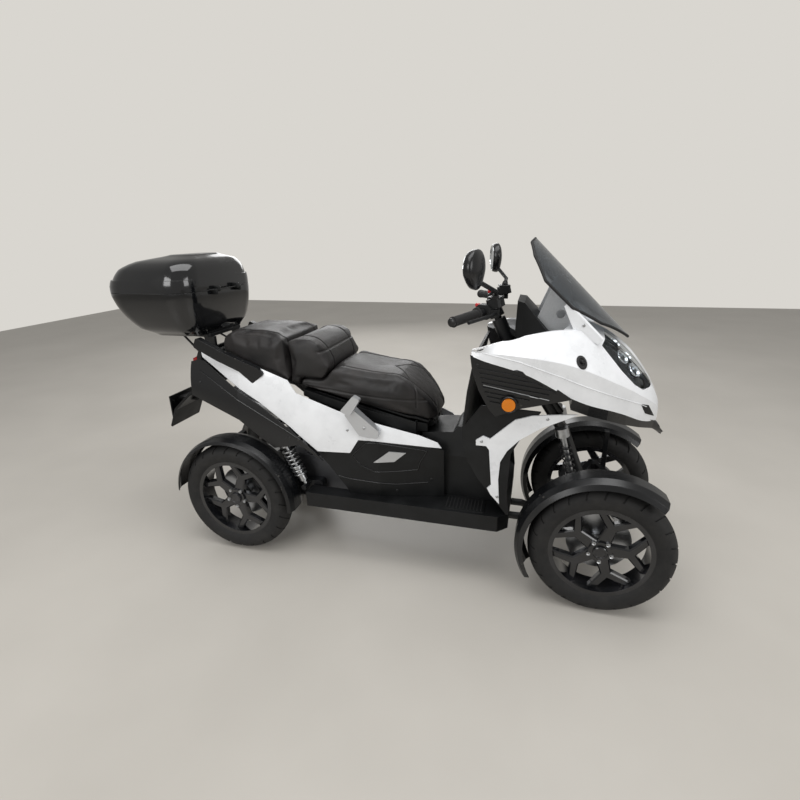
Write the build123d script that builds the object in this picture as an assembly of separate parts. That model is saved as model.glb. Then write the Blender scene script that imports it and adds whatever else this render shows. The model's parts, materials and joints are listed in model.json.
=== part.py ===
"""Tilting four-wheeled motor scooter with a top box, as an assembly of named pieces.

Units are millimetres. X points forward, Y to the rider's left and Z up, and the wheels stand on Z = 0.
Front pieces are placed from the front axle and rear pieces from the rear axle.
"""

import math
import os

from build123d import *

# Wheels and stance
WHEELBASE = 1580
FRONT_TRACK = 550
REAR_TRACK = 510
TYRE_DIAMETER = 531
TYRE_WIDTH = 110
RIM_FLANGE_RADIUS = 190
RIM_SEAT_RADIUS = 180
RIM_WIDTH = 84
RIM_WALL = 9
FLANGE_LIP = 6
HUB_RADIUS = 42
HUB_LENGTH = 60
SPOKE_COUNT = 5
SPOKE_DEPTH = 26
DISC_RADIUS = 120
DISC_THICKNESS = 4
DISC_INSET = 45
AXLE_RADIUS = 12
RUNNING_CLEARANCE = 0.05
SEAT_CLEARANCE = 0.3

# Front end
KINGPIN_OFFSET = 185
KINGPIN_RADIUS = 9
UPPER_ARM_HEIGHT = 398
LOWER_ARM_HEIGHT = 172
ARM_DEPTH = 22
ARM_EYE_RADIUS = 20
POST_HALF = 24
CRADLE_HALF_WIDTH = 55
STRUT_TOP = (-168, 118, 690)
FENDER_GAP = 17
FENDER_WALL = 3.5
FRONT_FENDER_RISE = 32
REAR_FENDER_RISE = 20

# Steering
RAKE = 25
BAR_CENTRE = (-452, 1112)
STEM_RADIUS = 15
STEM_LENGTH = 120
BAR_RADIUS = 11
BAR_HALF_WIDTH = 385
GRIP_RADIUS = 17

# Frame and drive
CARRIER_HALF = 225
RAIL_HEIGHT = 222
RAIL_RADIUS = 16
RAIL_OFFSET = 58
ENGINE_TOP = 455
ENGINE_HALF_WIDTH = 140
SUBFRAME_IN = 96
SUBFRAME_OUT = 112
SUBFRAME_TOP = 925
SWINGARM_WIDTH = 44

# Body
WALL = 4
TRIM_THICKNESS = 8
SIDE_CUT_IN = 100
SIDE_CUT_OUT = 330
LEG_SHIELD_HALF_WIDTH = 234
LEG_SHIELD_WALL = 10
FLOOR_HEIGHT = 330
FLOOR_DEPTH = 68
FLOOR_HALF_WIDTH = 262
FLOOR_PLATE = 12
PAD_HEIGHT = 3
TUNNEL_HALF_WIDTH = 132
TUNNEL_TOP_HALF_WIDTH = 96
TUNNEL_WALL = 6
LAMP_INNER = 42
SCREEN_TOP = (-312, 1386)
SCREEN_SLOPE = 44.7
SCREEN_RADIUS = 322
SCREEN_LENGTH = 505
TAIL_LOW = 752
PLATE_HOLE_SPACING = 140
PLATE_HOLE_HEIGHT = 640
PLATE_HOLE_RADIUS = 3.5

# Seat
SEAT_HINGE = (890, 638)
SEAT_NOSE = (880, 655)
HINGE_PIN_RADIUS = 5
BAY_HALF_WIDTH = 160
BAY_WALL = 6
PAN_THICKNESS = 8
PAN_HALF_WIDTH = 150
PAN_GAP = 6

# Top box
BOX_FLOOR = 1000
BOX_BASE_HEIGHT = 195
BOX_LID_HEIGHT = 150
BOX_REAR = -550
BOX_FRONT = -110
BOX_HALF_WIDTH = 272
BOX_WALL = 5
LID_GAP = 2
LID_HINGE_OUT = 16
LID_HINGE_DROP = 4
RACK_DEPTH = 14

TYRE_RADIUS = TYRE_DIAMETER / 2
FRONT_AXLE = WHEELBASE / 2
REAR_AXLE = -WHEELBASE / 2
FRONT_END = FRONT_AXLE + TYRE_RADIUS
REAR_END = REAR_AXLE + BOX_REAR
CENTRE_SHIFT = -(FRONT_END + REAR_END) / 2
POST_LOW = LOWER_ARM_HEIGHT + ARM_DEPTH / 2 + 1
POST_HIGH = UPPER_ARM_HEIGHT - ARM_DEPTH / 2 - 1
ENGINE_LOW = RAIL_HEIGHT + RAIL_RADIUS
SWINGARM_OUT = ENGINE_HALF_WIDTH + SWINGARM_WIDTH
BOX_SEAM = BOX_FLOOR + BOX_BASE_HEIGHT
LID_HINGE = (BOX_FRONT + LID_HINGE_OUT, BOX_SEAM - LID_HINGE_DROP)


def fx(ahead):
    """X of a point measured forward from the front axle."""
    return FRONT_AXLE + ahead


def rx(ahead):
    """X of a point measured forward from the rear axle."""
    return REAR_AXLE + ahead


def front(points):
    """An outline given from the front axle, in X and Z."""
    return [(fx(x), z) for x, z in points]


def rear(points):
    """An outline given from the rear axle, in X and Z."""
    return [(rx(x), z) for x, z in points]


def side_plane(y):
    """Drawing plane seen from the right, X to the right and Z up, at a given Y."""
    return Plane(origin=(0, y, 0), x_dir=(1, 0, 0), z_dir=(0, -1, 0))


def cross_plane(x):
    """Drawing plane across the vehicle, Y to the right and Z up, at a given X."""
    return Plane(origin=(x, 0, 0), x_dir=(0, 1, 0), z_dir=(1, 0, 0))


def outline_face(points, radius=0):
    """A closed face through points, with its corners rounded where a radius is given."""
    line = FilletPolyline(*points, radius=radius, close=True) if radius else Polyline(*points, close=True)
    return make_face(line)


def prism(points, y_low, y_high, radius=0):
    """A side outline of X and Z points carried across from y_low to y_high."""
    return extrude(side_plane(y_high) * outline_face(points, radius), amount=y_high - y_low)


def plan_prism(points, z_low, z_high, radius=0):
    """A plan outline of X and Y points carried up from z_low to z_high."""
    return extrude(Plane.XY.offset(z_low) * outline_face(points, radius), amount=z_high - z_low)


def both_edges(points):
    """A plan outline from its left edge, closed by the mirror image on the right."""
    return points + [(x, -y) for x, y in reversed(points)]


def block(x_low, x_high, y_low, y_high, z_low, z_high):
    """A plain block between two corners."""
    size = Box(x_high - x_low, y_high - y_low, z_high - z_low)
    return Pos((x_low + x_high) / 2, (y_low + y_high) / 2, (z_low + z_high) / 2) * size


def rod(start, end, radius):
    """A round bar between two points."""
    a, b = Vector(*start), Vector(*end)
    plane = Plane(origin=a, z_dir=(b - a).normalized())
    return extrude(plane * Circle(radius), amount=(b - a).length)


def tube_run(points, radius):
    """A round bar through a list of points, mitred at its bends."""
    corners = [Vector(*point) for point in points]
    start = Plane(origin=corners[0], z_dir=corners[1] - corners[0])
    return sweep(start * Circle(radius), path=Polyline(*corners), transition=Transition.RIGHT)


def pin_y(x, z, y_low, y_high, radius):
    """A round pin that lies across the vehicle."""
    return rod((x, y_low, z), (x, y_high, z), radius)


def skin(stations, wall):
    """A curved side panel: each station is X and a curve of half width and Z from top to bottom."""
    sections = []
    for x, curve in stations:
        inner = [(w - wall, z) for w, z in reversed(curve)]
        edge = Spline(*curve) + Line(curve[-1], inner[0]) + Spline(*inner) + Line(inner[-1], curve[0])
        sections.append(cross_plane(x) * make_face(edge))
    return loft(sections, ruled=True)


def solid_inside(stations):
    """Everything inboard of a side panel, to just under its outer face."""
    sections = []
    for x, curve in stations:
        under = [(w - 1, z) for w, z in curve]
        edge = Spline(*under) + Polyline(under[-1], (10, under[-1][1]), (10, under[0][1]), under[0])
        sections.append(cross_plane(x) * make_face(edge))
    return loft(sections, ruled=True)


def largest(shape):
    """The biggest solid left after a cut."""
    return max(shape.solids(), key=lambda solid: solid.volume)


def both_sides(left):
    """A left-hand piece and its mirror image as separate solids."""
    return Compound(children=[*left.solids(), *mirror(left, about=Plane.XZ).solids()])


# Wheels


def make_rim():
    """Cast wheel about Y with forked spokes, outboard face towards +Y."""
    half = RIM_WIDTH / 2
    inner = RIM_SEAT_RADIUS - RIM_WALL
    barrel = revolve(outline_face([
        (inner, -half), (RIM_FLANGE_RADIUS, -half), (RIM_SEAT_RADIUS, -half + FLANGE_LIP),
        (RIM_SEAT_RADIUS, half - FLANGE_LIP), (RIM_FLANGE_RADIUS, half), (inner, half),
    ]), axis=Axis.Y)
    inboard = -HUB_LENGTH / 2
    hub = rod((0, inboard, 0), (0, inboard + HUB_LENGTH, 0), HUB_RADIUS)
    reach = inner + RIM_WALL / 2
    prong = [(HUB_RADIUS - 10, 25), (100, 20), (reach * 0.87, reach * 0.45), (reach * 0.945, reach * 0.3)]
    fork = prong + [(reach * 0.72, 0)] + [(x, -y) for x, y in reversed(prong)]
    spoke = prism(fork, -4, SPOKE_DEPTH - 4)
    spoke = chamfer(spoke.faces().sort_by(Axis.Y)[-1].edges(), 5)
    wheel = barrel + hub
    for turn in range(SPOKE_COUNT):
        wheel += Rot(0, turn * 360 / SPOKE_COUNT, 0) * spoke
    bore = rod((0, inboard - 1, 0), (0, inboard + HUB_LENGTH + 1, 0), AXLE_RADIUS + RUNNING_CLEARANCE)
    return wheel - bore


def make_disc():
    """Brake disc with its carrier, seated on the hub's inboard face."""
    outer = -DISC_INSET
    carrier_end = -HUB_LENGTH / 2
    disc = rod((0, outer - DISC_THICKNESS, 0), (0, outer, 0), DISC_RADIUS)
    carrier = rod((0, outer, 0), (0, carrier_end, 0), HUB_RADIUS)
    clear = rod((0, outer - 20, 0), (0, carrier_end + 1, 0), AXLE_RADIUS + 14)
    return disc + carrier - clear


def make_tyre():
    """Tyre about Y in straight bands from bead to crown, seated between the rim's flanges."""
    half = TYRE_WIDTH / 2
    bead = RIM_WIDTH / 2 - FLANGE_LIP - SEAT_CLEARANCE
    low = RIM_SEAT_RADIUS + SEAT_CLEARANCE
    rise = TYRE_RADIUS - low
    wall = [
        (low, bead), (low + rise * 0.56, half), (low + rise * 0.86, half * 0.74), (TYRE_RADIUS, half * 0.34),
    ]
    section = wall + [(r, -y) for r, y in reversed(wall)]
    return revolve(outline_face(section), axis=Axis.Y)


def make_fender(angle_from, angle_to, inner_edge, outer_edge, rise):
    """Hoop mudguard about Y, between two angles measured up from straight ahead."""
    low = TYRE_RADIUS + FENDER_GAP
    mid = (inner_edge + outer_edge) / 2
    half = (outer_edge - inner_edge) / 2
    lip = FENDER_WALL * 1.6
    outer = [(low, half), (low + rise * 0.6, half * 0.86), (low + rise, half * 0.46)]
    inner = [(low, half - lip), (low + rise * 0.6 - FENDER_WALL, half * 0.86 - lip),
             (low + rise - FENDER_WALL, half * 0.44)]
    right = [(r, mid + y) for r, y in outer] + [(r, mid - y) for r, y in reversed(outer)]
    left = [(r, mid - y) for r, y in inner] + [(r, mid + y) for r, y in reversed(inner)]
    hoop = revolve(outline_face(right + left), axis=Axis.Y, revolution_arc=angle_to - angle_from)
    return Rot(0, -angle_to, 0) * hoop


# Front suspension and steering


def make_caliper():
    """Brake caliper about a disc in the XZ plane, at the disc's front edge."""
    body = chamfer((Pos(DISC_RADIUS - 6, 0, 0) * Box(56, 38, 92)).edges().filter_by(Axis.Y), 12)
    return body - Pos(DISC_RADIUS - 40, 0, 0) * Box(90, DISC_THICKNESS + 6, 100)


def make_knuckle():
    """Left upright with its kingpin, stub axle and brake caliper."""
    x, y, z = fx(0), KINGPIN_OFFSET, TYRE_RADIUS
    hub_face = FRONT_TRACK / 2 - HUB_LENGTH / 2
    post = block(x - POST_HALF, x + POST_HALF, y - 20, y + 20, POST_LOW, POST_HIGH)
    low_end, high_end = LOWER_ARM_HEIGHT - ARM_DEPTH / 2 - 6, UPPER_ARM_HEIGHT + ARM_DEPTH / 2 + 6
    upright = post + rod((x, y, low_end), (x, y, high_end), KINGPIN_RADIUS)
    upright += pin_y(x, z, y, hub_face - 0.5, AXLE_RADIUS + 6)
    upright += pin_y(x, z, y, hub_face + HUB_LENGTH + 4, AXLE_RADIUS)
    disc_in = FRONT_TRACK / 2 - DISC_INSET - DISC_THICKNESS
    caliper = Pos(x, disc_in + DISC_THICKNESS / 2, z) * Rot(0, -150, 0) * make_caliper()
    bracket = block(x - 92, x, y + 4, y + 20, z + 38, z + 78)
    bracket += block(x - 100, x - 76, y + 4, disc_in - 6, z + 40, z + 76)
    return upright + caliper + bracket


def make_front_fender():
    """Left front mudguard with the stay that bolts it to the upright."""
    inner_edge = -66
    wheel_mid = FRONT_TRACK / 2
    hoop = Pos(fx(0), wheel_mid, TYRE_RADIUS) * make_fender(50, 208, inner_edge, 72, FRONT_FENDER_RISE)
    x, y = fx(0) + POST_HALF, KINGPIN_OFFSET
    hoop_low = TYRE_RADIUS + TYRE_RADIUS + FENDER_GAP
    stay = block(x, x + 34, y + 4, y + 18, POST_HIGH - 60, POST_HIGH - 4)
    stay += block(x + 14, x + 34, y + 4, y + 18, POST_HIGH - 60, hoop_low - 14)
    stay += block(x + 14, x + 34, y + 4, wheel_mid + inner_edge + 12, hoop_low - 14, hoop_low + 6)
    return hoop + stay


def make_arm(height):
    """One left suspension arm from the cradle to its kingpin eye."""
    x, y = fx(0), KINGPIN_OFFSET
    low, high = height - ARM_DEPTH / 2, height + ARM_DEPTH / 2
    inner = CRADLE_HALF_WIDTH
    plan = [(x - 78, inner), (x + 78, inner), (x + 18, y), (x - 18, y)]
    window = [(x - 44, inner + 18), (x + 44, inner + 18), (x + 10, y - 34), (x - 10, y - 34)]
    arm = plan_prism(plan, low, high) - plan_prism(window, low - 1, high + 1)
    arm += rod((x, y, low), (x, y, high), ARM_EYE_RADIUS)
    return arm - rod((x, y, low - 1), (x, y, high + 1), KINGPIN_RADIUS + RUNNING_CLEARANCE)


def make_strut(arm, frame):
    """Left front damper from the lower arm up to the body."""
    foot = Vector(fx(-34), 112, LOWER_ARM_HEIGHT + ARM_DEPTH / 2)
    top = Vector(fx(STRUT_TOP[0]), STRUT_TOP[1], STRUT_TOP[2] - 10)
    span = top - foot
    strut = rod(foot, foot + span * 0.45, 20) + rod(foot, top, 11)
    strut += rod(foot + span * 0.45, foot + span * 0.49, 26)
    return strut + rod(foot + span * 0.93, top, 26) - arm - frame


# Steering column and bars

AXIS_DOWN = Vector(math.sin(math.radians(RAKE)), 0, -math.cos(math.radians(RAKE)))
BAR_MIDDLE = Vector(fx(BAR_CENTRE[0]), 0, BAR_CENTRE[1])
BAR_PATH = [
    BAR_MIDDLE, BAR_MIDDLE + Vector(6, 110, 18), BAR_MIDDLE + Vector(-22, 235, 31),
    BAR_MIDDLE + Vector(-104, BAR_HALF_WIDTH, 19),
]
SWITCH_PLACE = BAR_PATH[1] * 0.12 + BAR_PATH[2] * 0.88


def along_stem(distance):
    """A point on the steering axis below the bar's middle."""
    return BAR_MIDDLE + AXIS_DOWN * distance


def on_grip(share):
    """A point on the bar's outer run, 0 at its bend and 1 at its end."""
    return BAR_PATH[2] + (BAR_PATH[3] - BAR_PATH[2]) * share


def make_handlebar():
    """Bar, clamp and stem as one welded piece."""
    left = tube_run(BAR_PATH, BAR_RADIUS)
    stem = rod(along_stem(0), along_stem(STEM_LENGTH), STEM_RADIUS)
    clamp = rod(along_stem(-16), along_stem(24), STEM_RADIUS * 2)
    return left + mirror(left, about=Plane.XZ) + stem + clamp


def make_grip():
    """Left rubber grip with its flange, bored to slide on the bar."""
    grip = rod(on_grip(0.12), on_grip(1.03), GRIP_RADIUS)
    grip += rod(on_grip(0.12), on_grip(0.16), GRIP_RADIUS + 7)
    return grip - rod(on_grip(0), on_grip(1), BAR_RADIUS)


def make_controls(handlebar):
    """Left switch housing, fluid reservoir and brake lever."""
    at = SWITCH_PLACE
    housing = chamfer(Box(58, 46, 52).edges().filter_by(Axis.Y), 12)
    housing = Pos(at.X, at.Y - 8, at.Z) * Rot(0, 0, 12) * housing
    reservoir = chamfer(Box(52, 62, 34).edges().filter_by(Axis.Z), 9)
    reservoir = Pos(at.X + 36, at.Y - 22, at.Z + 30) * Rot(0, -14, 12) * reservoir
    perch = Pos(at.X + 34, at.Y + 6, at.Z) * Box(36, 24, 20)
    tip = on_grip(1.0)
    lever = tube_run([at + Vector(44, 8, 0), at + Vector(30, 60, -4), tip + Vector(52, -4, -2)], 6)
    return housing + reservoir + perch + lever - handlebar


MIRROR_OUTLINE = [(70, 8), (50, 48), (6, 62), (-44, 50), (-64, 10), (-54, -36), (-12, -64), (42, -46)]


def make_mirror(controls):
    """Left rear-view mirror: a teardrop shell on its stalk, glass side to the rear."""
    middle = (fx(-486), 362, 1298)
    sections = []
    for depth, size in ((-34, 0.92), (-24, 1), (4, 0.88), (24, 0.6), (34, 0.25)):
        outline = [(y * size, z * size) for y, z in MIRROR_OUTLINE]
        sections.append(cross_plane(depth) * outline_face(outline))
    shell = Pos(*middle) * Rot(0, 0, -8) * loft(sections, ruled=True)
    base = SWITCH_PLACE + Vector(36, -4, 47)
    elbow = SWITCH_PLACE + Vector(40, 26, 74)
    neck = Vector(*middle) + Vector(0, -16, -36)
    return shell + (tube_run([base, elbow, neck], 7) - controls)


# Frame and drive


def make_frame():
    """Front cradle, spine, head tube, lower rails, lamp carrier and rear subframe plates."""
    cradle = block(fx(-95), fx(95), -CRADLE_HALF_WIDTH, CRADLE_HALF_WIDTH, 140, 430)
    cradle -= block(fx(-60), fx(60), -CRADLE_HALF_WIDTH - 1, CRADLE_HALF_WIDTH + 1, 200, 372)
    head = rod(along_stem(34), along_stem(STEM_LENGTH + 4), 28)
    spine = tube_run([along_stem(STEM_LENGTH - 10), (fx(-150), 0, 620), (fx(-70), 0, 415)], 24)
    carrier = rod(along_stem(70), (fx(-160), 0, 905), 14)
    carrier += pin_y(fx(-160), 905, -CARRIER_HALF, CARRIER_HALF, 12)
    rail = tube_run([
        (fx(-80), 36, RAIL_HEIGHT - 57), (fx(-300), RAIL_OFFSET, RAIL_HEIGHT),
        (rx(440), RAIL_OFFSET, RAIL_HEIGHT),
    ], RAIL_RADIUS)
    strut_x, strut_y, strut_z = STRUT_TOP
    brace = rod(along_stem(STEM_LENGTH - 4), (fx(strut_x), 0, strut_z + 10), 14)
    brace += pin_y(fx(strut_x), strut_z, -strut_y, strut_y, 12)
    frame = cradle + head + spine + carrier + brace + rail + mirror(rail, about=Plane.XZ)
    frame -= rod(along_stem(0), along_stem(STEM_LENGTH + 20), STEM_RADIUS + RUNNING_CLEARANCE)
    plate = prism(rear([
        (320, ENGINE_TOP), (380, ENGINE_TOP), (212, 760), (-84, SUBFRAME_TOP - 30), (-116, SUBFRAME_TOP),
        (-175, SUBFRAME_TOP), (-175, SUBFRAME_TOP - 55), (-120, SUBFRAME_TOP - 55), (175, 730),
    ]), SUBFRAME_IN, SUBFRAME_OUT)
    cross = block(rx(-160), rx(-130), -SUBFRAME_OUT, SUBFRAME_OUT, SUBFRAME_TOP - 45, SUBFRAME_TOP - 10)
    subframe = plate + mirror(plate, about=Plane.XZ) + cross
    return Compound(children=[*frame.solids(), *subframe.solids()])


def make_engine():
    """Engine and drive case as one plain block."""
    case = block(rx(190), rx(660), -ENGINE_HALF_WIDTH, ENGINE_HALF_WIDTH, ENGINE_LOW, ENGINE_TOP)
    return chamfer(case.edges().filter_by(Axis.Y), 25)


def arm_beam():
    """The left swingarm's beam beside the drive case."""
    z = TYRE_RADIUS
    outline = rear([(-42, z - 30), (-42, z + 30), (250, 345), (400, 350), (400, 270), (240, 270)])
    return prism(outline, ENGINE_HALF_WIDTH, SWINGARM_OUT, radius=18)


def make_swingarm():
    """Left swingarm from the drive case to the rear hub, with its stub axle and caliper."""
    z = TYRE_RADIUS
    hub_face = REAR_TRACK / 2 - HUB_LENGTH / 2
    arm = arm_beam()
    arm += pin_y(rx(0), z, SWINGARM_OUT - 10, hub_face - 0.5, AXLE_RADIUS + 6)
    arm += pin_y(rx(0), z, SWINGARM_OUT - 10, hub_face + HUB_LENGTH + 4, AXLE_RADIUS)
    arm += pin_y(rx(328), 335, SWINGARM_OUT - 10, 236, 12)
    disc_in = REAR_TRACK / 2 - DISC_INSET - DISC_THICKNESS
    caliper = Pos(rx(0), disc_in + DISC_THICKNESS / 2, z) * Rot(0, -32, 0) * make_caliper()
    return arm + caliper + block(rx(80), rx(116), SWINGARM_OUT - 20, disc_in - 6, z + 30, z + 75)


def make_rear_shock(swingarm):
    """Left rear damper, from the swingarm's lug up behind the guard."""
    foot, top = Vector(rx(328), 212, 347), Vector(rx(238), 212, 545)
    span = top - foot
    shock = rod(foot, top, 9) + rod(foot + span * 0.08, foot + span * 0.4, 18)
    shock += rod(foot + span * 0.36, foot + span * 0.4, 24) + rod(foot + span * 0.88, foot + span * 0.92, 24)
    shock += pin_y(top.X, top.Z, top.Y - 16, top.Y + 16, 12)
    return shock - swingarm


def make_rear_fender():
    """Left rear mudguard with the stay that carries it on the swingarm."""
    z = TYRE_RADIUS
    inner_edge = -62
    hoop = Pos(rx(0), REAR_TRACK / 2, z) * make_fender(-4, 176, inner_edge, 66, REAR_FENDER_RISE)
    hoop_low = z + TYRE_RADIUS + FENDER_GAP
    inboard, bend = SWINGARM_OUT - 30, hoop_low - 14
    stay = block(rx(-12), rx(12), inboard, SWINGARM_OUT - 16, z + 20, bend) - arm_beam()
    stay += block(rx(-12), rx(12), inboard, REAR_TRACK / 2 + inner_edge + 12, bend, hoop_low + 5)
    return hoop + largest(stay)


def make_exhaust():
    """Silencer over the drive case on the left."""
    can = rod((rx(180), 60, 560), (rx(-190), 80, 640), 52)
    return can + tube_run([(rx(230), 60, ENGINE_TOP), (rx(230), 60, 520), (rx(170), 60, 562)], 20)


# Front body

FAIRING = [
    # ahead of the front axle, top Z, shoulder, crease and lower edge as half width and Z
    (-505, 1014, (262, 1013), (280, 1006), (285, 994)),
    (-410, 1042, (252, 1041), (289, 1004), (290, 964)),
    (-300, 1070, (234, 1068), (292, 996), (288, 930)),
    (-180, 1086, (210, 1082), (288, 978), (280, 868)),
    (-90, 1078, (164, 1062), (262, 945), (254, 826)),
    (-20, 1044, (138, 1022), (224, 908), (218, 800)),
    (50, 990, (118, 962), (176, 868), (170, 768)),
    (110, 918, (92, 896), (130, 828), (124, 736)),
    (158, 842, (60, 826), (82, 790), (76, 722)),
    (176, 792, (42, 782), (54, 760), (50, 714)),
]
HEADLIGHT = [(-62, 1024), (16, 932), (66, 880), (100, 856), (128, 858), (150, 900), (46, 1010), (-36, 1070)]
COCKPIT = [(-520, 256), (-410, 247), (-300, 229), (-196, 205), (-176, 120)]


def fairing_body(inset, drop, first, last):
    """Solid between the front body's sections, pulled in by an inset and down by a drop."""
    sections = []
    for index, (x, top, shoulder, crease, lower) in enumerate(FAIRING):
        shift = first if index == 0 else last if index == len(FAIRING) - 1 else 0
        right = [(0, top - inset), (shoulder[0] - inset, shoulder[1] - inset),
                 (crease[0] - inset, crease[1]), (lower[0] - inset, lower[1] - drop)]
        left = [(-w, z) for w, z in reversed(right[1:])]
        sections.append(cross_plane(fx(x + shift)) * outline_face(right + left))
    return loft(sections)


def make_front_shells():
    """The white nose fairing and its two lamp lenses, cut from one creased shell."""
    shell = fairing_body(0, 0, 0, 0) - fairing_body(WALL, 30, -5, -6)
    shell -= plan_prism(both_edges([(fx(x), w) for x, w in COCKPIT]), SCREEN_TOP[1] - 500, SCREEN_TOP[1])
    left_lamp = prism(front(HEADLIGHT), LAMP_INNER, SIDE_CUT_OUT)
    lamps = left_lamp + mirror(left_lamp, about=Plane.XZ)
    fairing = shell - lamps
    boss = rod((fx(-160), CARRIER_HALF, 905), (fx(-160), 280, 905), 10) & fairing_body(1, 30, -5, -6)
    fairing += boss + mirror(boss, about=Plane.XZ)
    return fairing, shell & lamps


def make_belly_pan(shell):
    """Black chin under the nose, from the wheel openings to the beak's tip."""
    sections = []
    for x, w, top, low in [
        (-150, 262, 850, 800), (-90, 250, 828, 778), (-20, 215, 802, 752), (50, 168, 770, 722),
        (110, 122, 746, 700), (165, 74, 722, 682), (212, 30, 664, 650),
    ]:
        outline = [(w, top), (w - 22, low), (0, low - 10), (-w + 22, low), (-w, top), (0, top - 16)]
        sections.append(cross_plane(fx(x)) * outline_face(outline))
    return loft(sections, ruled=True) - shell


GRILLE = [
    (-509, 997), (-403, 970), (-298, 939), (-214, 896), (-150, 852), (-191, 840), (-325, 803), (-412, 764),
    (-438, 793), (-477, 868), (-501, 942),
]
GRILLE_SKIN = [
    (-520, [(286, 1000), (284, 900), (270, 750)]),
    (-330, [(288, 1000), (286, 880), (268, 750)]),
    (-130, [(282, 900), (280, 850), (272, 790)]),
]
RIB_COUNT = 7
RIB_PITCH = 17
RIB_HEIGHT = 6


def make_side_grille(shell):
    """Left black panel under the fairing with its raised ribs."""
    stations = [(fx(x), curve) for x, curve in GRILLE_SKIN]
    panel = (skin(stations, WALL) & prism(front(GRILLE), SIDE_CUT_IN, SIDE_CUT_OUT)) - shell
    proud = skin([(x, [(w + 5, z) for w, z in curve]) for x, curve in stations], WALL + 5)
    field = prism(front([(-484, 962), (-300, 920), (-206, 874), (-300, 838), (-420, 800), (-458, 870)]),
                  SIDE_CUT_IN, SIDE_CUT_OUT)
    ribs = (proud & field) - shell
    for step in range(RIB_COUNT + 1):
        z = 950 - step * RIB_PITCH
        slot = front([(-540, z + 20), (-100, z - 40), (-100, z - 40 - RIB_PITCH + RIB_HEIGHT),
                      (-540, z + 20 - RIB_PITCH + RIB_HEIGHT)])
        ribs -= prism(slot, SIDE_CUT_IN, SIDE_CUT_OUT) - panel
    return largest(panel + ribs)


def make_indicator(grille):
    """Left round amber lamp on the grille panel."""
    return largest(pin_y(fx(-365), 822, 276, 302, 24) - grille)


SHIELD_BACK = [
    (-356, FLOOR_HEIGHT), (-425, 420), (-472, 476), (-515, 552), (-536, 625), (-540, 690), (-525, 840),
    (-500, 985),
]


def make_leg_shield():
    """Bulged wall before the rider's knees, with its two side plates."""
    w = LEG_SHIELD_HALF_WIDTH
    face = [(x + LEG_SHIELD_WALL, z) for x, z in reversed(SHIELD_BACK)]
    wall = prism(front(SHIELD_BACK + face), -w, w)
    edge = [(-470, 790), (-250, 780), (-300, 700), (-350, 600), (-356, 430), (-345, FLOOR_HEIGHT)]
    side = prism(front(SHIELD_BACK[:6] + edge), w - LEG_SHIELD_WALL, w)
    return wall + side + mirror(side, about=Plane.XZ)


def make_leg_trim():
    """Left white A-shaped trim on the leg shield's side."""
    w = LEG_SHIELD_HALF_WIDTH
    outline = front([
        (-484, 649), (-457, 669), (-430, 659), (-341, 745), (-281, 766), (-184, 778), (-123, 783),
        (-165, 760), (-250, 717), (-319, 666), (-364, 615), (-388, 565), (-392, 486), (-384, 379),
        (-421, 420), (-434, 445), (-419, 461), (-432, 612), (-444, 628), (-483, 628),
    ])
    return prism(outline, w, w + TRIM_THICKNESS)


def make_dashboard():
    """Black instrument hood between the fairing's shoulders."""
    side = front([
        (-362, 1165), (-335, 1160), (-242, 1056), (-150, 1030), (-190, 965), (-350, 965), (-366, 1050),
    ])
    plan = both_edges([(fx(-370), 96), (fx(-340), 110), (fx(-250), 165), (fx(-140), 190)])
    hood = prism(side, -190, 190) & plan_prism(plan, 900, SCREEN_TOP[1])
    hood -= rod(along_stem(0), along_stem(STEM_LENGTH + 40), 36)
    hood -= rod(along_stem(60), (fx(-150), 0, 905), 20)
    return largest(hood - rod(along_stem(90), (fx(STRUT_TOP[0]), 0, STRUT_TOP[2] + 10), 22))


SCREEN_EDGE = [(0, 96), (40, 146), (128, 192), (262, 188), (378, 136), (462, 60), (SCREEN_LENGTH, 14)]


def screen_plane():
    """The screen's own plane: X down its slope, Z out of its face, at the middle of its top edge."""
    slope = math.radians(SCREEN_SLOPE)
    down = Vector(math.cos(slope), 0, -math.sin(slope))
    out = Vector(math.sin(slope), 0, math.cos(slope))
    return Plane(origin=(fx(SCREEN_TOP[0]), 0, SCREEN_TOP[1]), x_dir=down, z_dir=out)


def screen_drum(radius):
    """A drum along the screen's slope, whose top is the screen's curve."""
    return screen_plane() * rod((-80, 0, -SCREEN_RADIUS), (SCREEN_LENGTH + 80, 0, -SCREEN_RADIUS), radius)


def make_windscreen():
    """Smoked screen: a sheet of one curve, cut to its outline."""
    outline = plan_prism(both_edges(SCREEN_EDGE), -SCREEN_RADIUS / 2, 10, radius=12)
    return (screen_drum(SCREEN_RADIUS) - screen_drum(SCREEN_RADIUS - WALL)) & (screen_plane() * outline)


def make_pillar(shell):
    """Left white pillar that rises from the fairing beside the screen."""
    outline = front([(-200, 1160), (-182, 1186), (-40, 1070), (-77, 1030), (-158, 1070), (-180, 1116)])
    wing = prism(outline, 180, 188) & screen_drum(SCREEN_RADIUS - WALL)
    return largest(wing - shell)


def make_screen_bracket(shell, dashboard):
    """Left pale carrier plate that holds the screen above the dashboard."""
    outline = front([
        (-250, 1200), (-212, 1264), (-188, 1256), (-168, 1165), (-146, 1060), (-238, 1047), (-290, 1100),
    ])
    plate = prism(outline, 96, 101) & screen_drum(SCREEN_RADIUS - WALL)
    plate -= pin_y(fx(-205), 1120, 90, 110, 16)
    return largest(plate - shell - dashboard)


# Centre body


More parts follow.
